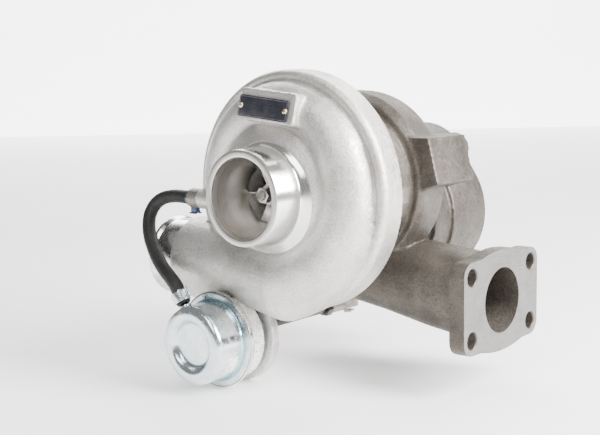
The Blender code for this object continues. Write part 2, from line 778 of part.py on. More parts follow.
# --- centre housing -------------------------------------------------------------------
def backplate():
    front = DIFFUSER_Y[1] + GAP
    profile = [(8.7, 60.2), (8.7, 63.3), (12.0, 63.3), (12.0, 64.3), (SPIGOT_R - GAP, 64.3)]
    profile += [(SPIGOT_R - GAP, 62.6), (SPIGOT_R - 2.3, 62.6), (SPIGOT_R - 2.3, 60.4)]
    profile += [(SPIGOT_R - GAP, 60.4), (SPIGOT_R - GAP, front), (31.0, front)]
    profile += [(30.2, front + 1.3), (22.5, 60.0), (12.5, 60.2)]
    body = solid(lathe(profile, 24))
    for k in range(4):
        at = polar(BACKPLATE_BOLT_R, 0, math.radians(45 + 90 * k))
        cut(body, solid(cylinder(2.5 + GAP, 60.6, 66, 10, at)))
    return place(body, "backplate", "cast_aluminium", (0, front, 0))


def o_ring():
    middle, size = SPIGOT_R - 1.25, 0.85
    profile = []
    for k in range(6):
        turn = k * TURN / 6
        profile.append((middle + size * math.cos(turn), 61.5 + size * math.sin(turn)))
    return place(solid(lathe(profile, 24)), "backplate_o_ring", "seal_rubber", (0, 61.5, 0))


def snap_ring():
    low, high = SNAP_Y[0] + 0.25, SNAP_Y[1] - 0.25
    body = solid(ring(47.6, SNAP_R - GAP, low, high, 22))
    cut(body, solid(box((-9, low - 1, 30), (9, high + 1, 60))))
    for side in (-1, 1):
        ear = solid(cylinder(3.4, low, high, 10, (side * 10.5, 0, 46.4)))
        cut(ear, solid(cylinder(1.3, low - 1, high + 1, 10, (side * 10.5, 0, 45.6))))
        join(body, ear)
    return place(body, "compressor_snap_ring", "spring_steel", (0, low, 0))


def backplate_bolts():
    for k in range(4):
        at = polar(BACKPLATE_BOLT_R, 0, math.radians(45 + 90 * k))
        body = solid(hexagon(8.0, 71.6, 75.4, at))
        join(body, solid(cylinder(2.5, 61.0, 72.0, 10, at)))
        place(body, f"backplate_bolt_{k + 1}", "steel", (at[0], 71.6, at[2]))


def centre_housing():
    low, high = CENTRE_Y
    profile = [(BEARING_BORE_R, 69.9), (19.4, 69.9), (19.4, low), (CENTRE_FLANGE_R, low)]
    profile += [(CENTRE_FLANGE_R, 71.3), (31.0, 71.3), (CENTRE_BODY_R, 74.0), (CENTRE_BODY_R, 91.0)]
    profile += [(36.0, HOT_FLANGE_Y[0]), (HOT_FLANGE_R, HOT_FLANGE_Y[0]), (HOT_FLANGE_R, HOT_FLANGE_Y[1])]
    profile += [(NOSE_R, HOT_FLANGE_Y[1]), (NOSE_R, high), (SEAL_HUB_R + 0.5, high)]
    profile += [(SEAL_HUB_R + 0.5, 100.0), (BEARING_BORE_R, 100.0)]
    body = solid(lathe(profile, 24))
    join(body, solid(box((-21, 75, 20), (21, 92, OIL_PAD_Z))))
    join(body, solid(box((-24, 72, DRAIN_PAD_Z), (24, 92.3, -20))))
    cut(body, solid(ring(13.0, 24.5, 74.5, 95.0, 20)))
    cut(body, solid(cylinder(8.0, 12, 60, 16, (0, DRAIN_Y, 0), (0, 0, -1))))
    cut(body, solid(cylinder(4.0, 5, 60, 12, (0, 83.5, 0), (0, 0, 1))))
    for side in (-1, 1):
        cut(body, solid(cylinder(3.4, 31, 60, 10, (side * 15, 83.5, 0), (0, 0, 1))))
        cut(body, solid(cylinder(4.2, 34, 60, 10, (side * 17, DRAIN_Y, 0), (0, 0, -1))))
    for k in range(4):
        at = polar(BACKPLATE_BOLT_R, 0, math.radians(45 + 90 * k))
        cut(body, solid(cylinder(2.5 + GAP, 60, 80, 10, at)))
        cut(body, solid(cylinder(5.6, 71.2, 78, 10, at)))
    return place(body, "centre_housing", "cast_iron")


def heat_shroud():
    profile = [(10.2, 113.6), (31.0, 113.6), (31.0, 104.8), (33.4, 104.8), (33.4, 105.8), (31.9, 105.8)]
    profile += [(31.9, 114.5), (10.2, 114.5)]
    return place(solid(lathe(profile, 22)), "heat_shroud", "heat_steel", (0, 104.8, 0))


# --- turbine housing ------------------------------------------------------------------
def hot_section(travel):
    if travel <= 330:
        return between(HOT_SCROLL, travel)
    share = (travel - 330) / 30
    last, first = HOT_SCROLL[-1][1:], HOT_SCROLL[0][1:]
    return tuple(a + (b - a) * share for a, b in zip(last, first))


def hot_front(radius, section):
    web = HOT_FRONT_Y + 2.5 if radius < 57 else HOT_FRONT_Y + 2.5 + (radius - 57) * 1.6
    height = dip(radius, *section)
    return smooth_least(web, HOT_SCROLL_Y - height, 3.0) if height else web


def hot_profile(travel):
    centre, size = section = hot_section(travel)
    edge = centre + size
    profile = [(HOT_BORE_R, HOT_FRONT_Y), (HOT_BORE_R, NOZZLE_Y[1]), (HOT_SHROUD_R, NOZZLE_Y[1])]
    profile += [(26.6, 128.0), (24.4, 133.0), (EXDUCER_BORE_R, 138.5), (EXDUCER_BORE_R, SEAT_Y - 1)]
    profile += [(31.0, SEAT_Y - 1), (31.5, 145.5)]
    for share in (0.2, 0.5, 0.8):
        radius = 31.5 + (edge - 31.5) * share
        profile.append((radius, HOT_SCROLL_Y + max(dip(radius, centre, size) or 0, 2.0)))
    profile += [(edge, HOT_SCROLL_Y + 1.5), (edge, HOT_SCROLL_Y - 1.5)]
    for share in (0.9, 0.68, 0.4, 0.12):
        radius = 52.5 + (edge - 52.5) * share
        profile.append((radius, hot_front(radius, section)))
    profile += [(HOT_BOLT_R + 0.6, HOT_FRONT_Y + 1.5), (HOT_BOLT_R, HOT_FRONT_Y)]
    return profile


def hot_casting():
    rings = []
    for k in range(HOT_STEPS):
        travel = 360 * k / HOT_STEPS
        angle = math.radians(270 - travel)
        rings.append([polar(radius, y, angle) for radius, y in hot_profile(travel)])
    return solid(loft(rings, looped=True))


def oval(centre, half_y, half_z, x, sides=20, power=2.6):
    """A rounded-square ring across the inlet neck."""
    points = []
    for k in range(sides):
        turn = k * TURN / sides
        c, s = math.cos(turn), math.sin(turn)
        y = math.copysign(abs(c) ** (2 / power), c) * half_y
        z = math.copysign(abs(s) ** (2 / power), s) * half_z
        points.append((x, centre[0] + y, centre[1] + z))
    return points


def neck_rows():
    """x, y, z, half width and half height of the neck, from the scroll to the flange."""
    first = hot_section(0)
    return (
        (-6.0, HOT_SCROLL_Y, -first[0] - 2.0, first[1] - 3.0, first[1] - 3.0),
        (25.0, HOT_SCROLL_Y, -62.5, 25.5, 25.0),
        (60.0, 128.0, -67.0, 26.5, 27.5),
        (FLANGE_X - FLANGE_THICK - 4, FLANGE_Y - 0.5, -71.0, 27.5, 28.0),
        (FLANGE_X - 4, FLANGE_Y, FLANGE_Z, 29.0, 28.5),
    )


def flange_outline():
    """Rounded rectangle whose long sides bulge round the port."""
    corners = ((1, 1), (-1, 1), (-1, -1), (1, -1))
    outline = []
    for quarter, (right, top) in enumerate(corners):
        for k in range(5):
            turn = (quarter + k / 4) * math.pi / 2
            y = right * (FLANGE_HALF_Y - FLANGE_CORNER) + FLANGE_CORNER * math.cos(turn)
            z = top * (FLANGE_HALF_Z - FLANGE_CORNER) + FLANGE_CORNER * math.sin(turn)
            outline.append((y, z))
        if quarter in (0, 2):
            for y in (22.0, 11.0, 0.0, -11.0, -22.0):
                rise = FLANGE_BULGE * math.cos(y / 26 * math.pi / 2) ** 0.8
                outline.append((y * top, top * (FLANGE_HALF_Z + rise)))
    return outline


def hot_passage():
    """The gas passage: in through the flange, round the scroll, ending near the tongue."""
    rings = []
    for share in (1.02, 0.75, 0.5, 0.25):
        x = FLANGE_X * share
        z = -hot_section(0)[0] + (FLANGE_Z + hot_section(0)[0]) * min(share, 1)
        y = HOT_SCROLL_Y + (FLANGE_Y - HOT_SCROLL_Y) * min(share, 1)
        size = hot_section(0)[1] - HOT_WALL
        size += (PORT_R - size) * min(share, 1)
        rings.append(around((x, y, z), (0, 0, -1), size, 10))
    stations = 13
    for k in range(stations):
        travel = 312 * k / (stations - 1)
        centre, size = hot_section(travel)
        angle = math.radians(270 - travel)
        radial = (math.cos(angle), 0, math.sin(angle))
        rings.append(around(polar(centre, HOT_SCROLL_Y, angle), radial, size - HOT_WALL, 10))
    return solid(loft(rings))


def hull(circles, grow, sides=64):
    """Convex outline of (x, z) points round circles of (x, z, radius)."""
    points = []
    for k in range(sides):
        turn = k * TURN / sides
        across = (math.cos(turn), math.sin(turn))
        best = max(circles, key=lambda c: c[0] * across[0] + c[1] * across[1] + c[2])
        points.append((best[0] + (best[2] + grow) * across[0], best[1] + (best[2] + grow) * across[1]))
    return points


def turbine_housing():
    body = hot_casting()
    neck = loft([oval((y, z), wide, tall, x) for x, y, z, wide, tall in neck_rows()])
    join(body, solid(neck))
    turned = [(FLANGE_Y + y, FLANGE_Z + z) for y, z in flange_outline()]
    plate = loft([[(x, y, z) for y, z in turned] for x in (FLANGE_X - FLANGE_THICK, FLANGE_X)])
    join(body, solid(plate))
    filler = solid(prism(hull(CHAMBER_CIRCLES, -6.0, 32), 126.0, 141.0))
    cut(filler, solid(cylinder(29.0, 120.0, 150.0, 24)))
    join(body, filler)
    join(body, solid(prism(hull(CHAMBER_CIRCLES, -2.5, 32), 140.0, 160.0)))
    join(body, solid(prism(hull(CHAMBER_CIRCLES, 0.0, 32), 159.0, CHAMBER_END_Y)))
    lug = [(38.0, 32.0), (64.0, 32.0), (71.5, 2.5), (51.0, -4.0), (40.0, 0.0), (36.0, 18.0)]
    join(body, solid(prism(lug, 108.0, 152.0)))
    join(body, solid(cylinder(11.5, 150.0, 181.0, 16, (38.5, 0, 20.0))))
    join(body, solid(cylinder(8.5, 60, -BOSS_Z, 16, (SPINDLE_X, SPINDLE_Y, 0), (0, 0, -1))))
    cut(body, hot_passage())
    cut(body, solid(ring(HOT_BORE_R - 2, 47.0, NOZZLE_Y[0], NOZZLE_Y[1] + 0.4, 28)))
    cut(body, solid(prism(hull(CHAMBER_CIRCLES, -CHAMBER_WALL, 32), SEAT_Y, CHAMBER_END_Y + 2)))
    cut(body, solid(cylinder(EXDUCER_BORE_R + 0.4, 139.5, 160, 28)))
    cut(body, solid(cylinder(SPINDLE_R + 2.6, 40, 100, 16, (SPINDLE_X, SPINDLE_Y, 0), (0, 0, -1))))
    cut(body, solid(cylinder(VALVE_PORT_R, 132, SEAT_Y + 1, 16, (VALVE_X, 0, VALVE_Z))))
    for y in (-1, 1):
        for z in (-1, 1):
            at = (0, FLANGE_Y + y * FLANGE_HOLE_Y, FLANGE_Z + z * FLANGE_HOLE_Z)
            cut(body, solid(cylinder(FLANGE_HOLE_R, FLANGE_X - 20, FLANGE_X + 2, 16, at, (1, 0, 0))))
    for angle in hot_bolt_angles():
        cut(body, solid(cylinder(2.5 + GAP, 100, 108.8, 8, polar(HOT_BOLT_R - 3.5, 0, angle))))
    return place(body, "turbine_housing", "cast_iron")


def hot_bolt_angles():
    return [math.radians(side + step) for side in (0, 180) for step in (-50, 0, 50)]


def arc(profile, middle, spread, steps=12):
    """Sweep a closed (radius, y) profile round the Y axis over part of a turn, in degrees."""
    rings = []
    for k in range(steps + 1):
        turn = math.radians(middle + spread * (k / steps - 0.5))
        rings.append([polar(radius, y, turn) for radius, y in profile])
    return loft(rings)


def hot_clamp():
    """Two arched plates and six screws that hold the turbine housing to the centre housing."""
    screw_r = HOT_BOLT_R - 3.5
    low, high = HOT_FLANGE_Y[0] - 3.3, HOT_FRONT_Y - GAP
    profile = [(40.5, low), (screw_r + 4.8, low), (screw_r + 4.8, high), (HOT_FLANGE_R + GAP, high)]
    profile += [(HOT_FLANGE_R + GAP, HOT_FLANGE_Y[0] - GAP), (40.5, HOT_FLANGE_Y[0] - GAP)]
    angles = hot_bolt_angles()
    for number, middle in enumerate((0, 180), 1):
        body = solid(arc(profile, middle, 126))
        for angle in angles[3 * number - 3 : 3 * number]:
            cut(body, solid(cylinder(2.5 + GAP, 90, 110, 10, polar(screw_r, 0, angle))))
        place(body, f"turbine_clamp_{number}", "steel")
    for number, angle in enumerate(angles, 1):
        at = polar(screw_r, 0, angle)
        top = low - GAP
        body = solid(hexagon(8.0, top - 4.0, top, at))
        join(body, solid(cylinder(2.5, top - 1, 108.4, 10, at)))
        place(body, f"turbine_bolt_{number}", "steel", (at[0], top, at[2]))


# --- wastegate ------------------------------------------------------------------------
def wastegate():
    spindle = (SPINDLE_X, SPINDLE_Y, 0)
    valve = [(0, SEAT_Y + GAP), (VALVE_R - 0.6, SEAT_Y + GAP), (VALVE_R, SEAT_Y + 0.9)]
    valve += [(VALVE_R, SEAT_Y + 3.4), (VALVE_R - 1.5, SEAT_Y + 4.4), (3.0, SEAT_Y + 4.4)]
    valve += [(3.0, SEAT_Y + 10.6), (0, SEAT_Y + 10.6)]
    body = solid(lathe(valve, 20, (VALVE_X, 0, VALVE_Z)))
    place(body, "wastegate_valve", "heat_steel", (VALVE_X, SEAT_Y, VALVE_Z))
    washer = ring(3.3, 5.4, SEAT_Y + 9.2, SEAT_Y + 10.4, 16, (VALVE_X, 0, VALVE_Z))
    place(solid(washer), "valve_washer", "heat_steel", (VALVE_X, SEAT_Y + 9.2, VALVE_Z))
    arm_y = (SEAT_Y + 4.7, SEAT_Y + 8.9)
    outline = hull(((VALVE_X, VALVE_Z, 6.0), (SPINDLE_X, VALVE_Z, 5.6)), 0.0, 18)
    arm = solid(prism(outline, *arm_y))
    join(arm, solid(cylinder(6.0, -VALVE_Z - 6.5, -VALVE_Z + 7.5, 16, spindle, (0, 0, -1))))
    join(arm, solid(cylinder(SPINDLE_R, 40, -LEVER_Z[0] - 1.0, 16, spindle, (0, 0, -1))))
    cut(arm, solid(cylinder(3.3, 150, 175, 12, (VALVE_X, 0, VALVE_Z))))
    place(arm, "wastegate_arm", "heat_steel", (SPINDLE_X, SPINDLE_Y, VALVE_Z))
    sleeve = ring(SPINDLE_R + 0.12, SPINDLE_R + 2.3, 56.0, -BOSS_Z + 1.6, 18, spindle, (0, 0, -1))
    place(solid(sleeve), "wastegate_bushing", "steel", (SPINDLE_X, SPINDLE_Y, BOSS_Z))
    wastegate_lever(spindle)


def pin_place():
    """The lever's pin at rest: half the stroke short of square to the rod."""
    sideways = math.sqrt(LEVER_LENGTH**2 - (STROKE / 2) ** 2)
    return (SPINDLE_X - sideways, SPINDLE_Y - STROKE / 2)


def wastegate_lever(spindle):
    pin_x, pin_y = pin_place()
    circles = ((SPINDLE_X, SPINDLE_Y, 8.0), (pin_x, pin_y, 6.0))
    outline = hull(circles, 0.0, 20)
    low, high = LEVER_Z
    shape = loft([[(x, y, z) for x, y in outline] for z in (low, high)])
    body = solid(shape)
    cut(body, solid(cylinder(SPINDLE_R + GAP, 80, 100, 16, spindle, (0, 0, -1))))
    cut(body, solid(cylinder(PIN_R + GAP, 80, 100, 14, (pin_x, pin_y, 0), (0, 0, -1))))
    place(body, "wastegate_lever", "steel", (SPINDLE_X, SPINDLE_Y, low))
    groove_low, groove_high = PIN_GROOVE_Z
    pin = [(0, -high - 1.8), (PIN_HEAD_R, -high - 1.8), (PIN_HEAD_R, -high - GAP), (PIN_R, -high - GAP)]
    pin += [(PIN_R, -groove_high), (PIN_R - 0.8, -groove_high), (PIN_R - 0.8, -groove_low)]
    pin += [(PIN_R, -groove_low), (PIN_R, -PIN_END_Z), (0, -PIN_END_Z)]
    down = (0, 0, -1)
    body = solid(lathe(pin, 16, (pin_x, pin_y, 0), down))
    place(body, "lever_pin", "steel", (pin_x, pin_y, low))
    middle = -(groove_low + groove_high) / 2
    top, bottom = middle - CLIP_THICK / 2, middle + CLIP_THICK / 2
    clip = solid(ring(PIN_R - 0.5, PIN_R + 2.2, top, bottom, 16, (pin_x, pin_y, 0), down))
    cut(clip, solid(box((pin_x - 1.9, pin_y - 8, -bottom - 1), (pin_x + 1.9, pin_y, 1 - top))))
    place(clip, "lever_clip", "spring_steel", (pin_x, pin_y, -middle))


# --- actuator -------------------------------------------------------------------------
def actuator_shells():
    at = (ACT_X, ACT_Y, ACT_Z)
    low, high = RING_Y
    cap = [(0, 4.5), (14.5, 4.5), (16.5, 1.2), (18.0, 0.2), (21.5, 0), (24.8, 1.2)]
    cap += [(CAP_R, 3.6), (CAP_R, 21.5)]
    cap += [(CAP_R + 0.6, low - 0.6), (RING_R - 0.6, low - 0.2), (RING_R - 0.6, low + 0.9)]
    cap.append((24.9, low + 0.9))
    cap += [(24.6, 22.0), (24.6, 4.2), (23.8, 2.6), (21.5, 1.5), (18.6, 1.7), (15.6, 5.8), (0, 5.8)]
    body = solid(lathe(cap, 22, at))
    cut(body, solid(cylinder(2.3, 15, 30, 12, (ACT_X, ACT_Y + NIPPLE_Y, ACT_Z), nipple_direction())))
    place(body, "actuator_cap", "zinc_plate", at)
    can = [(4.6, CAN_END_Y), (CAN_R - 4.6, CAN_END_Y), (CAN_R - 1.4, CAN_END_Y - 1.4)]
    can += [(CAN_R, CAN_END_Y - 4.6), (CAN_R, high + 0.6), (RING_R - 1.2, high), (RING_R, high - 0.9)]
    can += [(RING_R, low + 0.2), (RING_R - GAP, low + 0.2), (RING_R - GAP, low + 2.6)]
    can += [(27.1, low + 2.6), (27.1, CAN_END_Y - 5.0), (23.5, CAN_END_Y - 1.4)]
    can += [(4.6, CAN_END_Y - 1.4)]
    body = solid(lathe(can, 22, at))
    for side in (-1, 1):
        foot = (ACT_X + side * STUD_X, ACT_Y, ACT_Z)
        join(body, solid(cylinder(STUD_R, CAN_END_Y - 1.0, 62.0, 10, foot)))
        cut(body, solid(cylinder(1.5, 36, 50, 10, (ACT_X, ACT_Y, ACT_Z + side * 14))))
    place(body, "actuator_can", "zinc_plate", at)


def actuator_inside():
    at = (ACT_X, ACT_Y, ACT_Z)
    low = RING_Y[0]
    skin = [(31.3, low + 1.3), (31.3, low + 2.3), (23.4, low + 2.3), (23.0, 22.0), (22.2, 17.4)]
    skin += [(20.6, 17.2), (19.4, 19.0), (19.4, 13.2), (3.6, 13.2), (3.6, 12.3), (20.3, 12.3)]
    skin += [(20.6, 16.2), (23.2, 16.2), (24.0, 19.0), (24.2, low + 1.3)]
    place(solid(lathe(skin, 20, at)), "actuator_diaphragm", "seal_rubber", at)
    cup = [(3.6, 13.5), (19.1, 13.5), (19.1, 24.0), (18.1, 24.0), (18.1, 14.6), (3.6, 14.6)]
    place(solid(lathe(cup, 20, at)), "actuator_piston", "zinc_plate", (ACT_X, ACT_Y + 13.5, ACT_Z))
    turns, wire, coil = 5, 1.2, 15.6
    low, high = 14.6 + GAP + wire, CAN_END_Y - 1.4 - GAP - wire
    path = []
    steps = 12 * turns
    for k in range(steps + 1):
        turn = k * TURN / 12
        lift = min(max((k - 8) / (steps - 16), 0), 1)
        path.append(Vector((coil * math.cos(turn), low + (high - low) * lift, coil * math.sin(turn))))
    body = solid(moved(loft(sweep_rings(path, wire, 5)), at))
    place(body, "actuator_spring", "spring_steel", (ACT_X, ACT_Y + high, ACT_Z))


def actuator_rod():
    at = (ACT_X, ACT_Y, ACT_Z)
    pin_x, pin_y = pin_place()
    end = pin_y - 22.0 - ACT_Y
    profile = [(0, 9.0), (6.5, 9.0), (6.5, 12.0), (3.3, 12.0), (3.3, 14.9), (5.5, 14.9), (5.5, 16.2)]
    profile += [(ROD_R, 16.4), (ROD_R, end + 12), (0, end + 12)]
    place(solid(lathe(profile, 16, at)), "actuator_rod", "zinc_plate", (ACT_X, ACT_Y + 9, ACT_Z))
    nut = solid(hexagon(10.0, end - 6.5, end - 1.3, at))
    cut(nut, solid(cylinder(ROD_R + GAP, end - 8, end, 12, at)))
    place(nut, "rod_lock_nut", "steel", (ACT_X, ACT_Y + end - 6.5, ACT_Z))
    low, high = -100.6, -94.8
    eye = (pin_x, pin_y, 8.2)
    outline = hull((eye, (ACT_X, ACT_Y + end + 16.0, 5.2)), 0.0, 20)
    body = solid(loft([[(x, y, z) for x, y in outline] for z in (low, high)]))
    join(body, solid(cylinder(4.8, end - 1.0, end + 15.5, 14, at)))
    cut(body, solid(cylinder(ROD_R + GAP, end - 2, end + 12.4, 12, at)))
    cut(body, solid(cylinder(PIN_R + 1.2, 90, 106, 16, (pin_x, pin_y, 0), (0, 0, -1))))
    place(body, "rod_end", "steel", (ACT_X, ACT_Y + end, ACT_Z))


def actuator_nuts():
    for number, side in enumerate((-1, 1), 1):
        at = (ACT_X + side * STUD_X, 0, ACT_Z)
        nut = solid(hexagon(10.0, BRACKET_Y[1] + GAP, BRACKET_Y[1] + 5.3, at))
        cut(nut, solid(cylinder(STUD_R + GAP, 45, 60, 12, at)))
        place(nut, f"actuator_nut_{number}", "zinc_plate", (at[0], BRACKET_Y[1], at[2]))


# --- boost hose -----------------------------------------------------------------------
def nipple_direction():
    return (math.cos(NIPPLE_ANGLE), 0, math.sin(NIPPLE_ANGLE))


def nipple_point(radius):
    c, _, s = nipple_direction()
    return (ACT_X + radius * c, ACT_Y + NIPPLE_Y, ACT_Z + radius * s)


def hose_path():
    start = [(FITTING_X - step, FITTING_Y, FITTING_Z) for step in (3.9, 12.0, 17.0)]
    finish = [nipple_point(radius) for radius in (44.0, 38.0, 29.0)]
    return smooth_path([*start, *HOSE_ROUTE, *finish], 2)


def boost_hose():
    path = hose_path()
    outside = sweep_rings(path, HOSE_R, 8)
    inside = sweep_rings(path, HOSE_BORE_R, 8)
    body = solid(loft(outside + inside[::-1], looped=True))
    place(body, "boost_hose", "hose_rubber")


def barb(length):
    """Outline of a hose tail of the given length, from its shoulder at y = 0."""
    tail = HOSE_BORE_R - GAP - 0.1
    profile = [(tail - 0.3, 0), (tail - 0.3, length - 4), (tail, length - 4)]
    return profile + [(tail - 0.5, length - 0.4), (tail - 0.9, length)]


def hose_fittings():
    """The brass tail screwed into the scroll, and the nipple pressed into the cap."""
    screw = [(1.2, 14.4), (3.2, 14.4), (3.2, 1.2), (4.9, 1.2), (4.9, -3.2)]
    screw += [(radius, -3.4 - y) for radius, y in barb(11.0)] + [(1.2, -14.4)]
    body = solid(lathe(screw, 16, (FITTING_X, FITTING_Y, FITTING_Z), (1, 0, 0)))
    place(body, "hose_fitting", "brass", (FITTING_X, FITTING_Y, FITTING_Z))
    foot = [(1.1, 26.4), (4.0, 26.4), (4.0, 27.4), (2.4, 28.6)]
    foot += [(radius, 28.6 + y) for radius, y in barb(10.0)] + [(1.1, 38.6)]
    body = solid(lathe(foot, 16, (ACT_X, ACT_Y + NIPPLE_Y, ACT_Z), nipple_direction()))
    place(body, "actuator_nipple", "zinc_plate", (ACT_X, ACT_Y + NIPPLE_Y, ACT_Z))


def hose_clamp(name, at, direction, ear_angle, half_width):
    """A spring band with two ears that stand off it."""
    body = solid(ring(HOSE_R + GAP, HOSE_R + 1.2, -half_width, half_width, 18))
    for side in (-1, 1):
        ear = box((HOSE_R + 0.7, -2.2, side * 1.6 - 0.6), (HOSE_R + 6.0, 2.2, side * 1.6 + 0.6))
        join(body, solid(ear))
    body.data.transform(Matrix.Rotation(ear_angle, 4, "Y"))
    body.data.transform(Matrix.Translation(Vector(at)) @ along(direction))
    place(body, name, "zinc_plate", at)


def hose_clamps():
    upper = (FITTING_X - 8.6, FITTING_Y, FITTING_Z)
    hose_clamp("hose_clamp_upper", upper, (-1, 0, 0), math.radians(90), 4.5)
    hose_clamp("hose_clamp_lower", nipple_point(34.0), nipple_direction(), math.radians(-60), 3.6)


def main():
    clear_scene()
    frame = bpy.data.objects.new("shaft_frame", None)
    frame.location = Vector((-FLANGE_X, -FLANGE_Y, -FLANGE_Z)) * MM
    bpy.context.scene.collection.objects.link(frame)
    compressor_housing()
    name_plate()
    compressor_wheel()
    shaft_nut()
    turbine_shaft()
    thrust_pack()
    bearings()
    seal_rings()
    backplate()
    o_ring()
    snap_ring()
    backplate_bolts()
    centre_housing()
    heat_shroud()
    turbine_housing()
    hot_clamp()
    wastegate()
    actuator_shells()
    actuator_inside()
    actuator_rod()
    actuator_nuts()
    boost_hose()
    hose_fittings()
    hose_clamps()


main()
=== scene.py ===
"""Looks of the turbocharger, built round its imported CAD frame.

Shapes are drawn in millimetres in the shaft frame: the rotor turns about the Y axis, the
compressor's mouth is at y = 0 and faces -Y, and Z is up. SHAFT carries them to the row frame.
Clock positions are seen from the compressor's mouth.
"""

import json
from math import copysign, cos, hypot, pi, radians, sin, sqrt

import bmesh
import bpy
from mathutils import Matrix, Vector


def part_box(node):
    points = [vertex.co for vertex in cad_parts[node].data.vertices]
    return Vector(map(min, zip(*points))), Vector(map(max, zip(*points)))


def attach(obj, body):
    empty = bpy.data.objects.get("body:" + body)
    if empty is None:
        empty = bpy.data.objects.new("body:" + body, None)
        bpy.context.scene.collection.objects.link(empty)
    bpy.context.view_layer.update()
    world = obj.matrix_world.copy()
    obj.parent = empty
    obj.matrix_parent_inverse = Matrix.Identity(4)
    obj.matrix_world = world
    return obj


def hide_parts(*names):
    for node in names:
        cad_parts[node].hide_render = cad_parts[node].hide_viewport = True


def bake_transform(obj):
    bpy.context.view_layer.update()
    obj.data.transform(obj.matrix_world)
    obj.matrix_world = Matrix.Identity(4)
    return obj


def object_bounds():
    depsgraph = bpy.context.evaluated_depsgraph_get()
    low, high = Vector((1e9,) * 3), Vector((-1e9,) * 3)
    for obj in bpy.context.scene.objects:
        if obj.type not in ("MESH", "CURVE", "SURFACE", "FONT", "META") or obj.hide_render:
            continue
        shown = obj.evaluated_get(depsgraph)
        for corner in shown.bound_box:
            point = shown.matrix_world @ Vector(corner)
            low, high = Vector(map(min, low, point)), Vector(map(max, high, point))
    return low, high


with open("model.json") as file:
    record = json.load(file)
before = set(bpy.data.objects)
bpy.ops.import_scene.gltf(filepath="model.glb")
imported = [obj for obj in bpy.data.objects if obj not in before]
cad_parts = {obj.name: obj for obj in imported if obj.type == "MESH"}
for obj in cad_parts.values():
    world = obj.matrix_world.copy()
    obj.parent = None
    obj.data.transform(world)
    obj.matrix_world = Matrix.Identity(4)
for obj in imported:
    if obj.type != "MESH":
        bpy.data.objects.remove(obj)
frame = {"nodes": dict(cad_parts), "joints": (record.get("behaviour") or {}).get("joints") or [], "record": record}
CAD_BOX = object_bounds()
TURN = 2 * pi
SHARP_ANGLE = radians(35)
MM = 0.001
JOINTS = {joint["name"]: joint for joint in frame["joints"]}


def row_origin():
    """Where the shaft frame's origin lies: the rotor's axis at the compressor's mouth."""
    x, _, z = JOINTS["rotor_spin"]["pos_m"]
    return Vector((x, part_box("compressor_housing")[0].y, z))


SHAFT = Matrix.Translation(row_origin()) @ Matrix.Scale(MM, 4)


def in_shaft(point):
    return tuple(SHAFT.inverted() @ Vector(point))


# --- sizes, in millimetres ------------------------------------------------------------
MOUTH_R, MOUTH_BORE_R = 30.0, 25.1
INDUCER_R = 20.3
SEAM_Y = 29.5  # the machined bore piece ends here, hidden behind the wheel's front edge
FLARE = (  # (radius, y) of the machined curve from the spigot out to the casting
    *((30.0, 18.5), (30.25, 19.6), (30.6, 20.5), (31.2, 21.45)),
    *((32.0, 22.3), (34.0, 24.0), (36.0, 25.4), (38.0, 26.4)),
)
FLARE_EDGE_R, FLARE_EDGE_SWAY, BOSS_SLOPE = 35.3, 2.3, 0.62
WEB_Y, BEAD_START_R, BEAD_R, BEAD_Y = 44.0, 68.5, 73.5, 41.8
BAND_R, BAND_FRONT_Y, BAND_REAR_Y = 77.5, 46.5, 61.0
DIFFUSER_R, DIFFUSER_END_R, DIFFUSER_Y = 30.2, 56.0, (54.0, 57.5)
SPIGOT_R, SPIGOT_Y, COLLAR_R = 50.3, 68.5, 56.5
SNAP_R, SNAP_Y = 52.3, (64.5, 66.4)
COVER_TONGUE, HOT_TONGUE = 225, 270  # clock positions, in degrees, where each scroll's travel is 0
COVER_SCROLL = (  # travel, centre radius, centre y and size; the last row closes the loop
    (0, 58.5, 47.0, 13.5),
    (45, 57.5, 46.0, 14.2),
    (135, 55.0, 43.5, 15.5),
    (225, 51.0, 42.3, 17.6),
    (285, 53.0, 42.6, 23.5),
    (300, 54.5, 43.2, 24.8),
    (315, 57.0, 44.0, 27.0),
    (360, 58.5, 47.0, 13.5),
)
COVER_PASSAGE = (  # the same measures for the hollow inside
    (33, 58.0, 46.3, 9.2),
    (135, 55.5, 45.0, 11.0),
    (225, 52.0, 44.0, 12.5),
    (315, 52.0, 40.5, 17.2),
)
OUTLET_X, OUTLET_Y, OUTLET_Z = -112.0, 50.0, -51.5
OUTLET_R, OUTLET_BEAD_R, OUTLET_BORE_R = 26.0, 27.8, 22.4
OUTLET_LIP_X, OUTLET_LIP_R = -88.0, 28.6
ACT_X, _, ACT_Z = in_shaft(JOINTS["rod_slide"]["pos_m"])
ACT_Y = in_shaft(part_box("actuator_cap")[0])[1]
ACTUATOR = (ACT_X, ACT_Y, ACT_Z)
CAP_R, RING_R, RING_Y = 26.0, 32.0, (24.0, 28.5)
CAN_R, CAN_END_Y = 28.5, 44.5
BRACKET_R, BRACKET_Y = 32.0, (42.0, 49.0)
STUD_X = 17.0
HOSE_R, HOSE_BORE_R = 4.6, 2.7
FITTING = (-69.5, 37.2, -8.0)
FITTING_AXIS = (0, *FITTING[1:])
NIPPLE, NIPPLE_ANGLE = (ACT_X, ACT_Y + 12.0, ACT_Z), radians(124)
HOSE_ROUTE = (
    (-98.0, 37.4, -8.0),
    (-108.5, 36.0, -10.0),
    (-114.5, 33.0, -15.0),
    (-114.5, 27.8, -22.8),
    (-108.0, 21.4, -32.6),
    (-98.4, 16.6, -43.0),
    (-87.0, 13.0, -52.6),
)
HOT_FRONT_Y, HOT_FACE_R, HOT_BORE_R, HOT_BOLT_R = 104.3, 58.0, 34.0, 51.5
NOZZLE_Y = (114.6, 122.5)
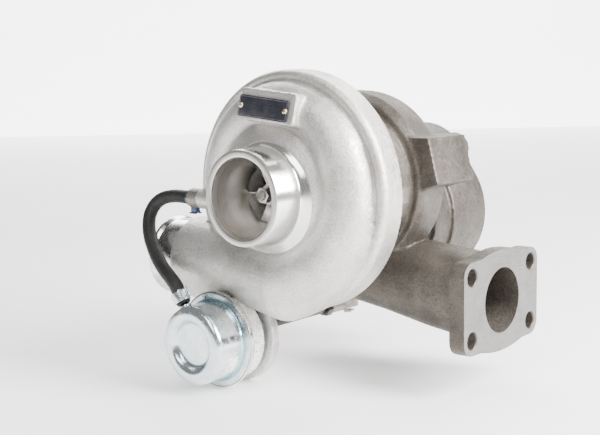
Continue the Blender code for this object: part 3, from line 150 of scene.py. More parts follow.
HOT_SCROLL = (  # travel, centre radius and size; the last row closes the loop
    *((0, 59.0, 25.5), (90, 49.0, 22.0), (180, 43.5, 18.8)),
    *((270, 43.0, 17.2), (330, 44.0, 16.0), (360, 59.0, 25.5)),
)
HOT_SCROLL_Y, HOT_WALL = 127.0, 5.0
EXDUCER_BORE_R, SEAT_Y, CHAMBER_END_Y, CHAMBER_WALL = 22.7, 157.0, 200.0, 5.0
CHAMBER_CIRCLES = ((0.0, 0.0, 37.0), (3.5, -26.0, 48.0), (-31.0, -42.0, 24.0))
LUG = ((38.0, 32.0), (64.0, 32.0), (71.5, 2.5), (51.0, -4.0), (40.0, 0.0), (36.0, 18.0))
FLANGE = (106.0, 130.0, -72.0)
FLANGE_THICK, FLANGE_HALF_Y, FLANGE_HALF_Z = 11.5, 46.0, 29.5
FLANGE_CORNER, FLANGE_BULGE, PORT_R = 9.0, 3.6, 21.3
FLANGE_HOLE_R, FLANGE_HOLE_Y, FLANGE_HOLE_Z = 5.4, 36.4, 20.0
SPINDLE = (*in_shaft(JOINTS["lever_swing"]["pos_m"])[:2], 0)
SPINDLE_R = 4.0
VALVE_X, VALVE_Z, VALVE_PORT_R = -33.0, -44.0, 8.5
BOSS_Z = -86.0
PLATE_HALF, PLATE_AT = (20.5, 6.65), (0.5, 22.4, 53.8)
PLATE_TILT, PLATE_ROLL, RIVET_X = radians(9), radians(6), 18.4


# --- mesh helpers ---------------------------------------------------------------------
def loft(rings, looped=False):
    """Skin equal rings of points. Ends are capped unless the rings close on themselves."""
    shape = bmesh.new()
    rows = [[shape.verts.new(point) for point in ring] for ring in rings]
    count = len(rows[0])
    pairs = list(zip(rows, rows[1:]))
    if looped:
        pairs.append((rows[-1], rows[0]))
    for low, high in pairs:
        for k in range(count):
            after = (k + 1) % count
            shape.faces.new((low[k], low[after], high[after], high[k]))
    if not looped:
        shape.faces.new(rows[0])
        shape.faces.new(rows[-1])
    return shape


def along(direction):
    return Vector((0, 1, 0)).rotation_difference(Vector(direction)).to_matrix().to_4x4()


def moved(shape, at=(0, 0, 0), direction=(0, 1, 0)):
    shape.transform(Matrix.Translation(Vector(at)) @ along(direction))
    return shape


def rounded(profile, radius, parts=3):
    """Round the corners of a closed outline; corners on the axis stay."""
    made = []
    count = len(profile)
    for k, corner in enumerate(profile):
        here = Vector(corner)
        if abs(here.x) < 1e-6:
            made.append(tuple(here))
            continue
        before, after = Vector(profile[k - 1]), Vector(profile[(k + 1) % count])
        back = (before - here).normalized() * min(radius, (before - here).length * 0.45)
        ahead = (after - here).normalized() * min(radius, (after - here).length * 0.45)
        for step in range(parts + 1):
            t = step / parts
            made.append(tuple((1 - t) ** 2 * (here + back) + 2 * t * (1 - t) * here + t**2 * (here + ahead)))
    return made


def lathe(profile, steps, at=(0, 0, 0), direction=(0, 1, 0)):
    """Turn a closed profile of (radius, y) points about the Y axis."""
    shape = bmesh.new()
    points = [shape.verts.new((max(radius, 0), y, 0)) for radius, y in profile]
    on_axis = [radius < 1e-6 for radius, _ in profile]
    edges = []
    for k, point in enumerate(points):
        after = (k + 1) % len(points)
        if not (on_axis[k] and on_axis[after]):
            edges.append(shape.edges.new((point, points[after])))
    bmesh.ops.spin(
        shape, geom=points + edges, cent=(0, 0, 0), axis=(0, 1, 0), angle=TURN, steps=steps, use_merge=True
    )
    bmesh.ops.remove_doubles(shape, verts=shape.verts, dist=1e-5)
    return moved(shape, at, direction)


def cylinder(radius, low, high, steps=64, at=(0, 0, 0), direction=(0, 1, 0)):
    return lathe([(0, low), (radius, low), (radius, high), (0, high)], steps, at, direction)


def ring(inner, outer, low, high, steps, edge):
    return lathe(rounded([(inner, low), (outer, low), (outer, high), (inner, high)], edge), steps)


def prism(outline, low, high):
    """Extrude an outline of (x, z) points from y = low to y = high."""
    return loft([[(x, y, z) for x, z in outline] for y in (low, high)])


def soft_prism(outline, low, high, edge, at=(0, 0, 0)):
    """A prism with rounded rims: its outline shrinks towards both ends."""
    middle = sum((Vector(point) for point in outline), Vector((0, 0))) / len(outline)
    start = [(low, edge), (low + 0.3 * edge, 0.3 * edge), (low + edge, 0)]
    finish = [(low + high - y, inset) for y, inset in start[::-1]]
    rings = []
    for y, inset in start + finish:
        ring_points = []
        for point in outline:
            away = Vector(point) - middle
            x, z = middle + away * (1 - inset / max(away.length, 1e-6))
            ring_points.append((x, y, z))
        rings.append(ring_points)
    return moved(loft(rings), at)


def box(low, high):
    outline = [(low[0], low[2]), (high[0], low[2]), (high[0], high[2]), (low[0], high[2])]
    return prism(outline, low[1], high[1])


def hexagon(across, low, high, at=(0, 0, 0)):
    """A bolt head: six sides, its ends chamfered by a turned cone."""
    radius = across / sqrt(3)
    corners = [polar(radius, 0, k * TURN / 6) for k in range(6)]
    body = solid(prism([(x, z) for x, _, z in corners], low, high))
    chamfer = 0.12 * across
    cone = [(0, low), (across / 2 - 0.2, low), (across / 2 + 2 * chamfer, low + chamfer)]
    cone += [(across / 2 + 2 * chamfer, high - chamfer), (across / 2 - 0.2, high), (0, high)]
    combine(body, solid(lathe(cone, 48)), "INTERSECT")
    body.data.transform(Matrix.Translation(at))
    return body


def polar(radius, y, angle):
    return (radius * cos(angle), y, radius * sin(angle))


def around(centre, radial, size, sides):
    """A circle of points in the plane of radial and Y."""
    points = []
    for k in range(sides):
        c, s = cos(k * TURN / sides) * size, sin(k * TURN / sides) * size
        points.append((centre[0] + radial[0] * c, centre[1] + s, centre[2] + radial[2] * c))
    return points


def between(table, travel):
    """The measures at a travel, read straight between the rows of a table."""
    rows = [row for row in table if row[0] <= travel] or [table[0]]
    before = rows[-1]
    after = next((row for row in table if row[0] > travel), before)
    if after is before:
        return before[1:]
    share = (travel - before[0]) / (after[0] - before[0])
    return tuple(a + (b - a) * share for a, b in zip(before[1:], after[1:]))


def smooth_least(a, b, width):
    """The smaller of two values, rounded off over a width where they cross."""
    mix = max(width - abs(a - b), 0) / width
    return min(a, b) - mix * mix * width / 4


def dip(radius, centre, size):
    """Half the height of a circle at a radius, or None outside it."""
    inside = size * size - (radius - centre) ** 2
    return sqrt(inside) if inside > 0 else None


def smooth_path(points, per_span):
    """A curve through all the points."""
    points = [Vector(point) for point in points]
    padded = [2 * points[0] - points[1], *points, 2 * points[-1] - points[-2]]
    path = []
    for a, b, c, d in zip(padded, padded[1:], padded[2:], padded[3:]):
        for k in range(per_span):
            t = k / per_span
            bend = (2 * a - 5 * b + 4 * c - d) * t**2 + (3 * b - 3 * c + d - a) * t**3
            path.append(0.5 * (2 * b + (c - a) * t + bend))
    path.append(points[-1])
    return path


def sweep_rings(path, radius, sides):
    """Rings of points square to a path, kept from twisting."""
    rings = []
    normal = None
    for k, point in enumerate(path):
        ahead = path[min(k + 1, len(path) - 1)] - path[max(k - 1, 0)]
        ahead.normalize()
        if normal is None:
            normal = ahead.orthogonal()
        normal = (normal - normal.dot(ahead) * ahead).normalized()
        other = ahead.cross(normal)
        turns = [j * TURN / sides for j in range(sides)]
        rings.append([point + radius * (cos(t) * normal + sin(t) * other) for t in turns])
    return rings


def chamber_hull(grow):
    """Convex outline of (x, z) points round the outlet chamber's circles."""
    points = []
    for turn in spans(0, TURN, TURN / 128)[:-1]:
        across = (cos(turn), sin(turn))
        x, z, radius = max(CHAMBER_CIRCLES, key=lambda c: c[0] * across[0] + c[1] * across[1] + c[2])
        points.append((x + (radius + grow) * across[0], z + (radius + grow) * across[1]))
    return points


def spans(low, high, step):
    """Evenly spaced values from low to high, both included, about one step apart."""
    count = max(1, round(abs(high - low) / step))
    return [low + (high - low) * k / count for k in range(count + 1)]


def scroll(profile_at, steps, tongue):
    """A closed ring of (radius, y) profiles, read backwards round the clock from the tongue."""
    rings = []
    for k in range(steps):
        travel = 360 * k / steps
        angle = radians(tongue - travel)
        rings.append([polar(radius, y, angle) for radius, y in profile_at(travel, angle)])
    return loft(rings, looped=True)


# --- object helpers -------------------------------------------------------------------
def linked(shape):
    mesh = bpy.data.meshes.new("shape")
    shape.to_mesh(mesh)
    shape.free()
    made = bpy.data.objects.new("shape", mesh)
    bpy.context.scene.collection.objects.link(made)
    return made


def solid(shape):
    bmesh.ops.recalc_face_normals(shape, faces=shape.faces)
    return linked(shape)


def apply_modifiers(body):
    graph = bpy.context.evaluated_depsgraph_get()
    graph.update()
    body.data = bpy.data.meshes.new_from_object(body.evaluated_get(graph))
    body.modifiers.clear()
    return body


def combine(body, tool, operation):
    step = body.modifiers.new("step", "BOOLEAN")
    step.operation = operation
    step.solver = "EXACT"
    step.object = tool
    bpy.context.view_layer.update()
    apply_modifiers(body)
    bpy.data.objects.remove(tool)
    return body


def cut(body, *shapes):
    for shape in shapes:
        combine(body, solid(shape), "DIFFERENCE")
    return body


def together(*objects):
    """Several meshes as one object, without any Boolean."""
    shape = bmesh.new()
    for item in objects:
        shape.from_mesh(item.data)
        bpy.data.objects.remove(item)
    return linked(shape)


def cast(voxel, rounds, *shapes):
    """Fuse shapes into one skin and soften its corners, as a sand casting's are."""
    body = together(*[solid(shape) for shape in shapes])
    remesh = body.modifiers.new("skin", "REMESH")
    remesh.mode = "VOXEL"
    remesh.voxel_size = voxel
    soften = body.modifiers.new("soften", "SMOOTH")
    soften.factor = 0.5
    soften.iterations = rounds
    return apply_modifiers(body)


def show(body, name, slot, *nodes, look=None, rides="housing"):
    """Name a piece, give it its material and hang it on its CAD body."""
    body.name = name
    mesh = body.data
    mesh.transform(SHAFT)
    if not mesh.materials:
        mesh.materials.append(LOOKS[look or slot])
    mesh.shade_smooth()
    mesh.set_sharp_from_angle(angle=SHARP_ANGLE)
    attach(body, rides)
    if nodes:
        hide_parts(*nodes)


def paint(body, looks, chooser):
    """Two materials on one mesh: chooser says from a face's centre and normal if it has the second."""
    mesh = body.data
    mesh.materials.clear()
    for look in looks:
        mesh.materials.append(LOOKS[look])
    for face in mesh.polygons:
        face.material_index = int(chooser(face.center, face.normal))


# --- material helpers -----------------------------------------------------------------
class Look:
    """A Principled material under construction, with object coordinates in millimetres."""

    def __init__(self, name, roughness=0.5, metallic=0.0):
        self.material = bpy.data.materials.new(name)
        self.material.use_nodes = True
        self.nodes = self.material.node_tree.nodes
        self.links = self.material.node_tree.links
        self.shader = self.nodes["Principled BSDF"]
        self.shader.inputs["Roughness"].default_value = roughness
        self.shader.inputs["Metallic"].default_value = metallic
        place = self.add("TexCoord")
        scale = self.add("VectorMath")
        scale.operation = "SCALE"
        scale.inputs["Scale"].default_value = 1 / MM
        self.links.new(place.outputs["Object"], scale.inputs[0])
        self.where = scale.outputs["Vector"]

    def add(self, kind):
        return self.nodes.new("ShaderNode" + kind)

    def feed(self, sockets, values):
        """Link each value that is an output to its socket, and set the sockets of the others."""
        for socket, value in zip(sockets, values):
            if hasattr(value, "is_linked"):
                self.links.new(value, socket)
            elif hasattr(value, "__len__"):
                socket.default_value = (*value, 1)
            else:
                socket.default_value = value

    def noise(self, size, detail=3.0, rough=0.55, stretch=None):
        """Noise whose blotches are about size millimetres across."""
        texture = self.add("TexNoise")
        texture.inputs["Scale"].default_value = 1 / size
        texture.inputs["Detail"].default_value = detail
        texture.inputs["Roughness"].default_value = rough
        source = self.where
        if stretch:
            scale = self.add("VectorMath")
            scale.operation = "MULTIPLY"
            scale.inputs[1].default_value = stretch
            self.links.new(source, scale.inputs[0])
            source = scale.outputs["Vector"]
        self.links.new(source, texture.inputs["Vector"])
        return texture.outputs["Fac"]

    def ramp(self, value, low, high, at=(0.3, 0.7)):
        """A value between two colours or numbers."""
        node = self.add("ValToRGB")
        for stop, place, colour in zip(node.color_ramp.elements, at, (low, high)):
            stop.position = place
            stop.color = (*colour, 1) if hasattr(colour, "__len__") else (colour, colour, colour, 1)
        self.links.new(value, node.inputs["Fac"])
        return node.outputs["Color"]

    def mix(self, factor, a, b, how="MIX"):
        node = self.add("Mix")
        node.data_type = "RGBA"
        node.blend_type = how
        self.feed((node.inputs[0], node.inputs[6], node.inputs[7]), (factor, a, b))
        return node.outputs[2]

    def maths(self, operation, a, b=0.0):
        node = self.add("Math")
        node.operation = operation
        self.feed(node.inputs, (a, b))
        return node.outputs[0]

    def colour(self, output):
        self.links.new(output, self.shader.inputs["Base Color"])

    def roughness(self, output):
        self.links.new(output, self.shader.inputs["Roughness"])

    def bump(self, *layers):
        """Bumps of (height output, depth in millimetres), one over the other."""
        normal = None
        for height, depth in layers:
            node = self.add("Bump")
            node.inputs["Strength"].default_value = 1.0
            node.inputs["Distance"].default_value = depth * MM
            self.links.new(height, node.inputs["Height"])
            if normal:
                self.links.new(normal, node.inputs["Normal"])
            normal = node.outputs["Normal"]
        self.links.new(normal, self.shader.inputs["Normal"])

    def hollows(self):
        """Pointiness: low in corners, high on edges; the castings use it for painted shade in their corners."""
        return self.add("NewGeometry").outputs["Pointiness"]

    def from_axis(self):
        """Distance from the rotor's axis, and the place along it, in millimetres."""
        part = self.add("SeparateXYZ")
        self.links.new(self.where, part.inputs[0])
        middle = row_origin() / MM
        x = self.maths("SUBTRACT", part.outputs["X"], middle.x)
        z = self.maths("SUBTRACT", part.outputs["Z"], middle.z)
        squares = self.maths("ADD", self.maths("MULTIPLY", x, x), self.maths("MULTIPLY", z, z))
        return self.maths("SQRT", squares), part.outputs["Y"]

    def line_noise(self, value, size):
        """Noise along one measure only, for turned and brushed metal."""
        texture = self.add("TexNoise")
        texture.noise_dimensions = "1D"
        texture.inputs["Scale"].default_value = 1 / size
        texture.inputs["Detail"].default_value = 4
        self.links.new(value, texture.inputs["W"])
        return texture.outputs["Fac"]


# --- materials ------------------------------------------------------------------------
def sand_cast_aluminium():
    look = Look("sand_cast_aluminium", 0.5, 0.85)
    broad = look.ramp(look.noise(24, 5), (0.60, 0.575, 0.545), (0.82, 0.80, 0.775))
    grain = look.ramp(look.noise(0.9, 3, 0.75), (0.58, 0.57, 0.55), (1.0, 1.0, 1.0), (0.3, 0.6))
    tone = look.mix(1.0, broad, grain, "MULTIPLY")
    # painted shade: pointiness darkens the casting's concave corners and crevices
    corner_shade = look.ramp(look.hollows(), (0.42, 0.39, 0.36), (1.0, 1.0, 1.0), (0.42, 0.5))
    look.colour(look.mix(0.9, tone, corner_shade, "MULTIPLY"))
    look.roughness(look.ramp(look.noise(4, 4), 0.36, 0.56))
    look.bump((look.noise(14, 3), 0.6), (look.noise(1.9, 3, 0.6), 0.3), (look.noise(0.8, 2, 0.7), 0.16))
    return look.material


def cast_iron():
    look = Look("sand_cast_iron", 0.5, 0.65)
    broad = look.ramp(look.noise(22, 5), (0.085, 0.074, 0.062), (0.16, 0.142, 0.122))
    grain = look.ramp(look.noise(0.9, 3, 0.75), (0.50, 0.48, 0.46), (1.0, 1.0, 1.0), (0.32, 0.62))
    tone = look.mix(1.0, broad, grain, "MULTIPLY")
    # painted shade: pointiness darkens the casting's concave corners and crevices
    corner_shade = look.ramp(look.hollows(), (0.40, 0.37, 0.34), (1.0, 1.0, 1.0), (0.42, 0.5))
    look.colour(look.mix(0.85, tone, corner_shade, "MULTIPLY"))
    look.roughness(look.ramp(look.noise(3, 4), 0.36, 0.62))
    look.bump((look.noise(10, 3), 0.5), (look.noise(2.0, 3, 0.6), 0.3), (look.noise(0.8, 2, 0.7), 0.16))
    return look.material


def turned(name, colour, roughness, line=0.35, depth=0.012, tint=0.06):
    """Metal turned about the rotor's axis, with fine rings."""
    look = Look(name, roughness, 1.0)
    radius, y = look.from_axis()
    rings = look.line_noise(look.maths("ADD", radius, y), line)
    dark = tuple(part * (1 - tint * 3) for part in colour)
    tone = look.ramp(look.noise(9, 4), tuple(part * (1 - tint) for part in colour), colour)
    look.colour(look.mix(look.maths("MULTIPLY", rings, 0.35), tone, dark))
    look.roughness(look.ramp(rings, roughness * 0.8, roughness * 1.35))
    look.bump((rings, depth))
    return look.material


def ground_face():
    """The milled face of the iron flange: grey, with faint straight tool marks."""
    look = Look("milled_iron", 0.42, 0.75)
    marks = look.noise(1.0, 4, 0.6, (1, 0.06, 1.4))
    broad = look.ramp(look.noise(16, 5), (0.125, 0.121, 0.116), (0.18, 0.175, 0.169))
    look.colour(look.mix(look.ramp(marks, 0.0, 0.4), broad, (0.30, 0.29, 0.28)))
    look.roughness(look.ramp(look.noise(5, 4), 0.36, 0.52))
    look.bump((marks, 0.02), (look.noise(2.2, 3), 0.02))
    return look.material


def plated(name, colour, cool, roughness=0.2):
    """Bright zinc: bluish silver with faint clouds of colour and fine drawing marks."""
    look = Look(name, roughness, 1.0)
    clouds = look.ramp(look.noise(11, 3), colour, cool, (0.35, 0.68))
    fine = look.ramp(look.noise(1.6, 4), (0.86, 0.86, 0.86), (1.0, 1.0, 1.0))
    look.colour(look.mix(1.0, clouds, fine, "MULTIPLY"))
    look.roughness(look.ramp(look.noise(3, 4), roughness * 0.7, roughness * 1.6))
    look.bump((look.noise(7, 3), 0.05), (look.noise(0.7, 2), 0.006))
    return look.material


def rubber(name, colour, lighter):
    look = Look(name, 0.6, 0.0)
    look.colour(look.ramp(look.noise(6, 5), colour, lighter))
    look.roughness(look.ramp(look.noise(2, 4), 0.5, 0.72))
    look.bump((look.noise(1.1, 3, 0.6), 0.05), (look.noise(0.35, 2), 0.02))
    return look.material


def plain_metal(name, colour, roughness, grain=0.02):
    look = Look(name, roughness, 1.0)
    dark = tuple(part * 0.72 for part in colour)
    look.colour(look.ramp(look.noise(3.5, 5), dark, colour))
    look.roughness(look.ramp(look.noise(2, 4), roughness * 0.8, roughness * 1.3))
    look.bump((look.noise(1.0, 3, 0.6), grain))
    return look.material


def plate_finish():
    """Black anodised sheet with fine scuffs that show bare metal."""
    look = Look("black_plate", 0.34, 0.35)
    scuffs = look.ramp(look.noise(0.9, 5, 0.75, (0.25, 1, 1)), 0.0, 1.0, (0.62, 0.74))
    base = look.ramp(look.noise(7, 4), (0.022, 0.024, 0.034), (0.05, 0.048, 0.06))
    look.colour(look.mix(look.maths("MULTIPLY", scuffs, 0.35), base, (0.4, 0.39, 0.38)))
    look.roughness(look.ramp(look.noise(1.5, 4), 0.26, 0.46))
    look.bump((scuffs, 0.01))
    return look.material


def label_paper():
    """White printed label: small dark flecks that say nothing, in rows."""
    look = Look("printed_label", 0.45, 0.0)
    flecks = look.ramp(look.noise(0.6, 2, 0.6), 0.0, 1.0, (0.50, 0.56))
    rows = look.ramp(look.noise(2.4, 0, 0.5), 0.0, 1.0, (0.44, 0.52))
    ink = look.mix(1.0, flecks, rows, "MULTIPLY")
    paper = look.ramp(look.noise(8, 3), (0.80, 0.79, 0.77), (0.90, 0.89, 0.88))
    look.colour(look.mix(look.maths("MULTIPLY", ink, 0.7), paper, (0.10, 0.10, 0.11)))
    look.bump((look.noise(2, 3), 0.02))
    return look.material


LOOKS = {
    "cast_aluminium": sand_cast_aluminium(),
    "cast_iron": cast_iron(),
    "turned_aluminium": turned("turned_aluminium", (0.86, 0.85, 0.83), 0.16),
    "discharge": plain_metal("turned_discharge", (0.86, 0.85, 0.83), 0.22, 0.006),
    "rough_bore": turned("bored_aluminium", (0.70, 0.67, 0.63), 0.34, 0.9, 0.09, 0.14),
    "milled_iron": ground_face(),
    "machined_aluminium": turned("milled_wheel", (0.74, 0.73, 0.71), 0.24),
    "steel": plain_metal("steel", (0.52, 0.51, 0.50), 0.32),
    # heat-tinted steel, also used as painted shade on pieces that sit in shade
    "heat_steel": plain_metal("heat_steel", (0.33, 0.29, 0.255), 0.42),
    "zinc_plate": plated("bright_zinc", (0.80, 0.83, 0.85), (0.62, 0.74, 0.78)),
    "cream_zinc": plated("yellowed_zinc", (0.78, 0.78, 0.72), (0.70, 0.71, 0.62), 0.28),
    # painted shade: dark teal zinc for the cap's groove beside the crimped ring
    "groove_shaded_teal_zinc": plated("groove_shaded_teal_zinc", (0.22, 0.42, 0.47), (0.38, 0.56, 0.60), 0.25),
    "blue_steel": plated("blued_steel", (0.10, 0.13, 0.22), (0.16, 0.19, 0.27), 0.3),
    # painted shade: a darker steel for pieces that sit in shade between the housings
    "dark_steel": plain_metal("shade_darkened_steel", (0.11, 0.105, 0.10), 0.38),
    "spring_steel": plain_metal("spring_steel", (0.36, 0.36, 0.37), 0.3),
    "bronze": plain_metal("bronze", (0.60, 0.42, 0.20), 0.34),
    "brass": plain_metal("brass", (0.80, 0.68, 0.42), 0.26),
    "hose_rubber": rubber("hose_rubber", (0.006, 0.0055, 0.005), (0.014, 0.013, 0.012)),
    "seal_rubber": rubber("seal_rubber", (0.012, 0.012, 0.012), (0.03, 0.03, 0.03)),
    "plate_black": plate_finish(),
    "label": label_paper(),
}


# --- compressor housing ---------------------------------------------------------------
def bead_front(radius):
    """Front of the casting outside the dome: flat, then a round bead that ends at the band."""
    if radius <= BEAD_START_R:
        return WEB_Y
    if radius <= BEAD_R:
        share = (radius - BEAD_START_R) / (BEAD_R - BEAD_START_R)
        return WEB_Y - (WEB_Y - BEAD_Y) * sin(share * pi / 2) ** 2
    share = min((radius - BEAD_R) / (BAND_R - BEAD_R), 1)
    return BEAD_Y + (BAND_FRONT_Y - BEAD_Y) * (1 - sqrt(1 - share * share))


def flare_edge(angle):
    """Radius and y where the machined flare ends at a clock position."""
    radius = FLARE_EDGE_R - FLARE_EDGE_SWAY * sin(angle)
    return radius, between(FLARE, radius)[0]


def cover_front(radius, section, edge):
    """The front of the casting at a radius: boss, dome, groove and bead."""
    centre, middle, size = section
    web = min(bead_front(radius), edge[1] + BOSS_SLOPE * (radius - edge[0]))
    height = dip(radius, centre, size)
    return web if height is None else smooth_least(web, middle - height, 3.0)


def cover_rear(radius, section):
    """The back of the casting at a radius, where the scroll may outgrow the band."""
    centre, middle, size = section
    return max(BAND_REAR_Y, middle + (dip(radius, centre, size) or 0))


def cover_side(y, section, least):
    """Outside radius at a y, where the scroll may outgrow the band."""
    centre, middle, size = section
    return max(least, centre + (dip(y, middle, size) or 0))


def cover_profile(travel, angle):
    """Outside of the blank; its middle is bored out later."""
    section = between(COVER_SCROLL, travel)
    edge = flare_edge(angle)
    core, top, first = 15.0, 29.0, BAND_R - 0.2
    profile = [(core, top), (core, SPIGOT_Y + 3), (COLLAR_R, SPIGOT_Y + 3), (COLLAR_R, SPIGOT_Y - 2)]
    profile += [(radius, cover_rear(radius, section)) for radius in spans(COLLAR_R + 0.4, first, 2.2)]
    profile += [(cover_side(y, section, BAND_R), y) for y in spans(BAND_REAR_Y, BAND_FRONT_Y, 2.5)]
    front = cover_front(first, section, edge)
    for share in (0.15, 0.3, 0.45, 0.6, 0.75, 0.9):
        y = BAND_FRONT_Y + (front - BAND_FRONT_Y) * share
        profile.append((cover_side(y, section, BAND_R + (first - BAND_R) * share), y))
    profile += [(radius, cover_front(radius, section, edge)) for radius in spans(first, 38.4, 0.9)]
    profile += [(edge[0] + 0.5, cover_front(edge[0] + 0.5, section, edge)), (edge[0] - 0.4, edge[1] + 0.3)]
    return profile


def outlet_middle(x):
    """Centre of the discharge at a place along it: it eases from the scroll to the tube."""
    centre, middle, _ = COVER_SCROLL[-2][1:]
    share = min(max((4.0 - x) / 54.0, 0), 1)
    share = share * share * (3 - 2 * share)
    return middle + (OUTLET_Y - middle) * share, -centre + (OUTLET_Z + centre) * share


def outlet_blank():
    rows = ((4.0, 26.6), (-50.0, 26.5), (-86.5, OUTLET_LIP_R), (OUTLET_LIP_X - 1, OUTLET_LIP_R))
    rings = []
    for (x0, r0), (x1, r1) in zip(rows, rows[1:]):
        count = 14 if x1 > OUTLET_LIP_X + 1 else 1
        for k in range(count):
            share = k / count
            x = x0 + (x1 - x0) * share
            y, z = outlet_middle(x)
            rings.append(around((x, y, z), (0, 0, -1), r0 + (r1 - r0) * share, 72))
    rings.append(around((rows[-1][0], OUTLET_Y, OUTLET_Z), (0, 0, -1), OUTLET_LIP_R, 72))
    return loft(rings)


def bracket_blank():
    """A plate round the actuator's foot that runs up into the scroll."""
    outline = []
    for k in range(41):
        turn = radians(150 + 240 * k / 40)
        outline.append((ACT_X + BRACKET_R * cos(turn), ACT_Z + BRACKET_R * sin(turn)))
    outline += [(ACT_X + 44, ACT_Z + 36), (ACT_X + 10, ACT_Z + 44), (ACT_X - 24, ACT_Z + 38)]
    return prism(outline, *BRACKET_Y)


def plate_frame():
    turn = Matrix.Rotation(-PLATE_TILT, 4, "X") @ Matrix.Rotation(PLATE_ROLL, 4, "Y")
    return Matrix.Translation(PLATE_AT) @ turn


def rounded_outline(half_x, half_z, corner, segments=8):
    """(x, z) points of a rectangle with round corners, from its half sizes."""
    outline = []
    for quarter, (right, top) in enumerate(((1, 1), (-1, 1), (-1, -1), (1, -1))):
        for k in range(segments + 1):
            turn = (quarter + k / segments) * pi / 2
            x, z = corner * cos(turn), corner * sin(turn)
            outline.append((right * (half_x - corner) + x, top * (half_z - corner) + z))
    return outline


def plate_pad():
    shape = prism(rounded_outline(23.0, 10.0, 2.0), 0.0, 12.0)
    shape.transform(plate_frame() @ Matrix.Translation((2.0, 0, 1.5)))
    return shape


def cover_cavity():
    """Everything bored out on the rotor's axis."""
    profile = [(0, 10), (24.0, 10), (24.0, SEAM_Y), (INDUCER_R, SEAM_Y)]
    for k in range(13):
        turn = k * pi / 24
        profile.append((DIFFUSER_R - (DIFFUSER_R - INDUCER_R) * cos(turn), 42 + 12 * sin(turn)))
    profile += [(DIFFUSER_END_R, DIFFUSER_Y[0]), (DIFFUSER_END_R, DIFFUSER_Y[1]), (SPIGOT_R, DIFFUSER_Y[1])]
    profile += [(SPIGOT_R, SNAP_Y[0]), (SNAP_R, SNAP_Y[0]), (SNAP_R, SNAP_Y[1]), (SPIGOT_R, SNAP_Y[1])]
    profile += [(SPIGOT_R, SPIGOT_Y - 0.8), (SPIGOT_R + 3.8, SPIGOT_Y + 3), (SPIGOT_R + 3.8, 90), (0, 90)]
    return lathe(profile, 120)


def cover_passage():
    """The hollow scroll, which grows from its tongue and runs on into the discharge."""
    rings = []
    stations = 48
    tongue, last = COVER_PASSAGE[0][0], COVER_PASSAGE[-1][0]
    for k in range(stations):
        travel = tongue + (last - tongue) * k / (stations - 1)
        centre, middle, size = between(COVER_PASSAGE, travel)
        angle = radians(COVER_TONGUE - travel)
        rings.append(around(polar(centre, middle, angle), polar(1, 0, angle), size, 40))
    for share in spans(0.1, 1.02, 0.1):
        y = middle + (OUTLET_Y - middle) * min(2 * share, 1)
        z = -centre + (OUTLET_Z + centre) * min(share, 1)
        wide = size + (OUTLET_BORE_R - size) * min(share, 1)
        rings.append(around((OUTLET_X * share, y, z), (0, 0, -1), wide, 40))
    return loft(rings)


def actuator_relief():
    """Room for the actuator, with an even gap round it."""
    gap = 0.9
    side, low, end = CAN_R + gap, RING_Y[1] + gap, CAN_END_Y + 0.4
    profile = [(0, -10), (RING_R + gap, -10), (RING_R + gap, low), (side, low)]
    profile += [(side, end - 4.6), (side - 1.2, end - 1.2), (side - 4.4, end), (0, end)]
    return lathe(profile, 96, ACTUATOR)


def cover_holes():
    """The collar's end face, the stepped hole for the hose tail, and the bracket's holes."""
    holes = [cylinder(70, SPIGOT_Y, SPIGOT_Y + 10, 96)]
    for radius, low, high in ((3.6, -80.0, -50.0), (5.3, -75.0, FITTING[0] + 1.5), (6.6, -80.0, -71.5)):
        holes.append(cylinder(radius, low, high, 48, FITTING_AXIS, (1, 0, 0)))
    holes.append(cylinder(7.5, 35, 56, 48, (ACT_X, 0, ACT_Z)))
    for side in (-1, 1):
        holes.append(cylinder(3.2, 35, 56, 32, (ACT_X + side * STUD_X, 0, ACT_Z)))
    return holes


def compressor_housing():
    blank = scroll(cover_profile, 180, COVER_TONGUE)
    boss = cylinder(7.0, -71.5, -57.0, 48, FITTING_AXIS, (1, 0, 0))
    body = cast(0.9, 5, blank, outlet_blank(), bracket_blank(), boss, plate_pad())
    cut(body, cover_cavity(), cover_passage(), actuator_relief(), *cover_holes())
    show(body, "compressor_casting", "cast_aluminium", "compressor_housing")


def evened(points, count):
    """A line of points read off again at a fixed count, so that rings match."""
    made = []
    for k in range(count):
        place = k * (len(points) - 1) / (count - 1)
        low = min(int(place), len(points) - 2)
        made.append(tuple(Vector(points[low]).lerp(Vector(points[low + 1]), place - low)))
    return made


def inlet_spigot():
    """The machined mouth: spigot, flare and the bore that narrows to the wheel."""
    bore = [(MOUTH_R, 1.0), (MOUTH_R - 0.3, 0.3), (MOUTH_R - 1.0, 0)]
    bore += [(MOUTH_BORE_R + 1.0, 0), (MOUTH_BORE_R + 0.2, 0.4), (MOUTH_BORE_R, 1.4)]
    bore += [(24.9, 5.0), (24.6, 8.0)]
    bore += [(24.2, 11.0), (23.6, 13.6), (22.8, 16.0), (21.9, 18.5), (21.2, 20.5), (20.6, 23.0)]
    bore += [(INDUCER_R, 25.0), (INDUCER_R, SEAM_Y), (24.0, SEAM_Y)]

    def profile(_, angle):
        edge = flare_edge(angle)
        outer = [(radius, between(FLARE, radius)[0]) for radius in spans(edge[0], MOUTH_R, 0.35)[:-1]]
        return [(edge[0] - 1.5, edge[1] + 2.6), (edge[0] - 0.1, edge[1] + 1.6), *evened(outer, 18), *bore]

    def is_rough(centre, normal):
        in_bore = hypot(centre.x, centre.z) < MOUTH_BORE_R + 0.1 and centre.y > 1.2
        return in_bore or (normal.y < -0.8 and centre.y < 0.5)

    body = solid(scroll(profile, 144, 0))
    paint(body, ("turned_aluminium", "rough_bore"), is_rough)
    show(body, "inlet_spigot", "cast_aluminium")


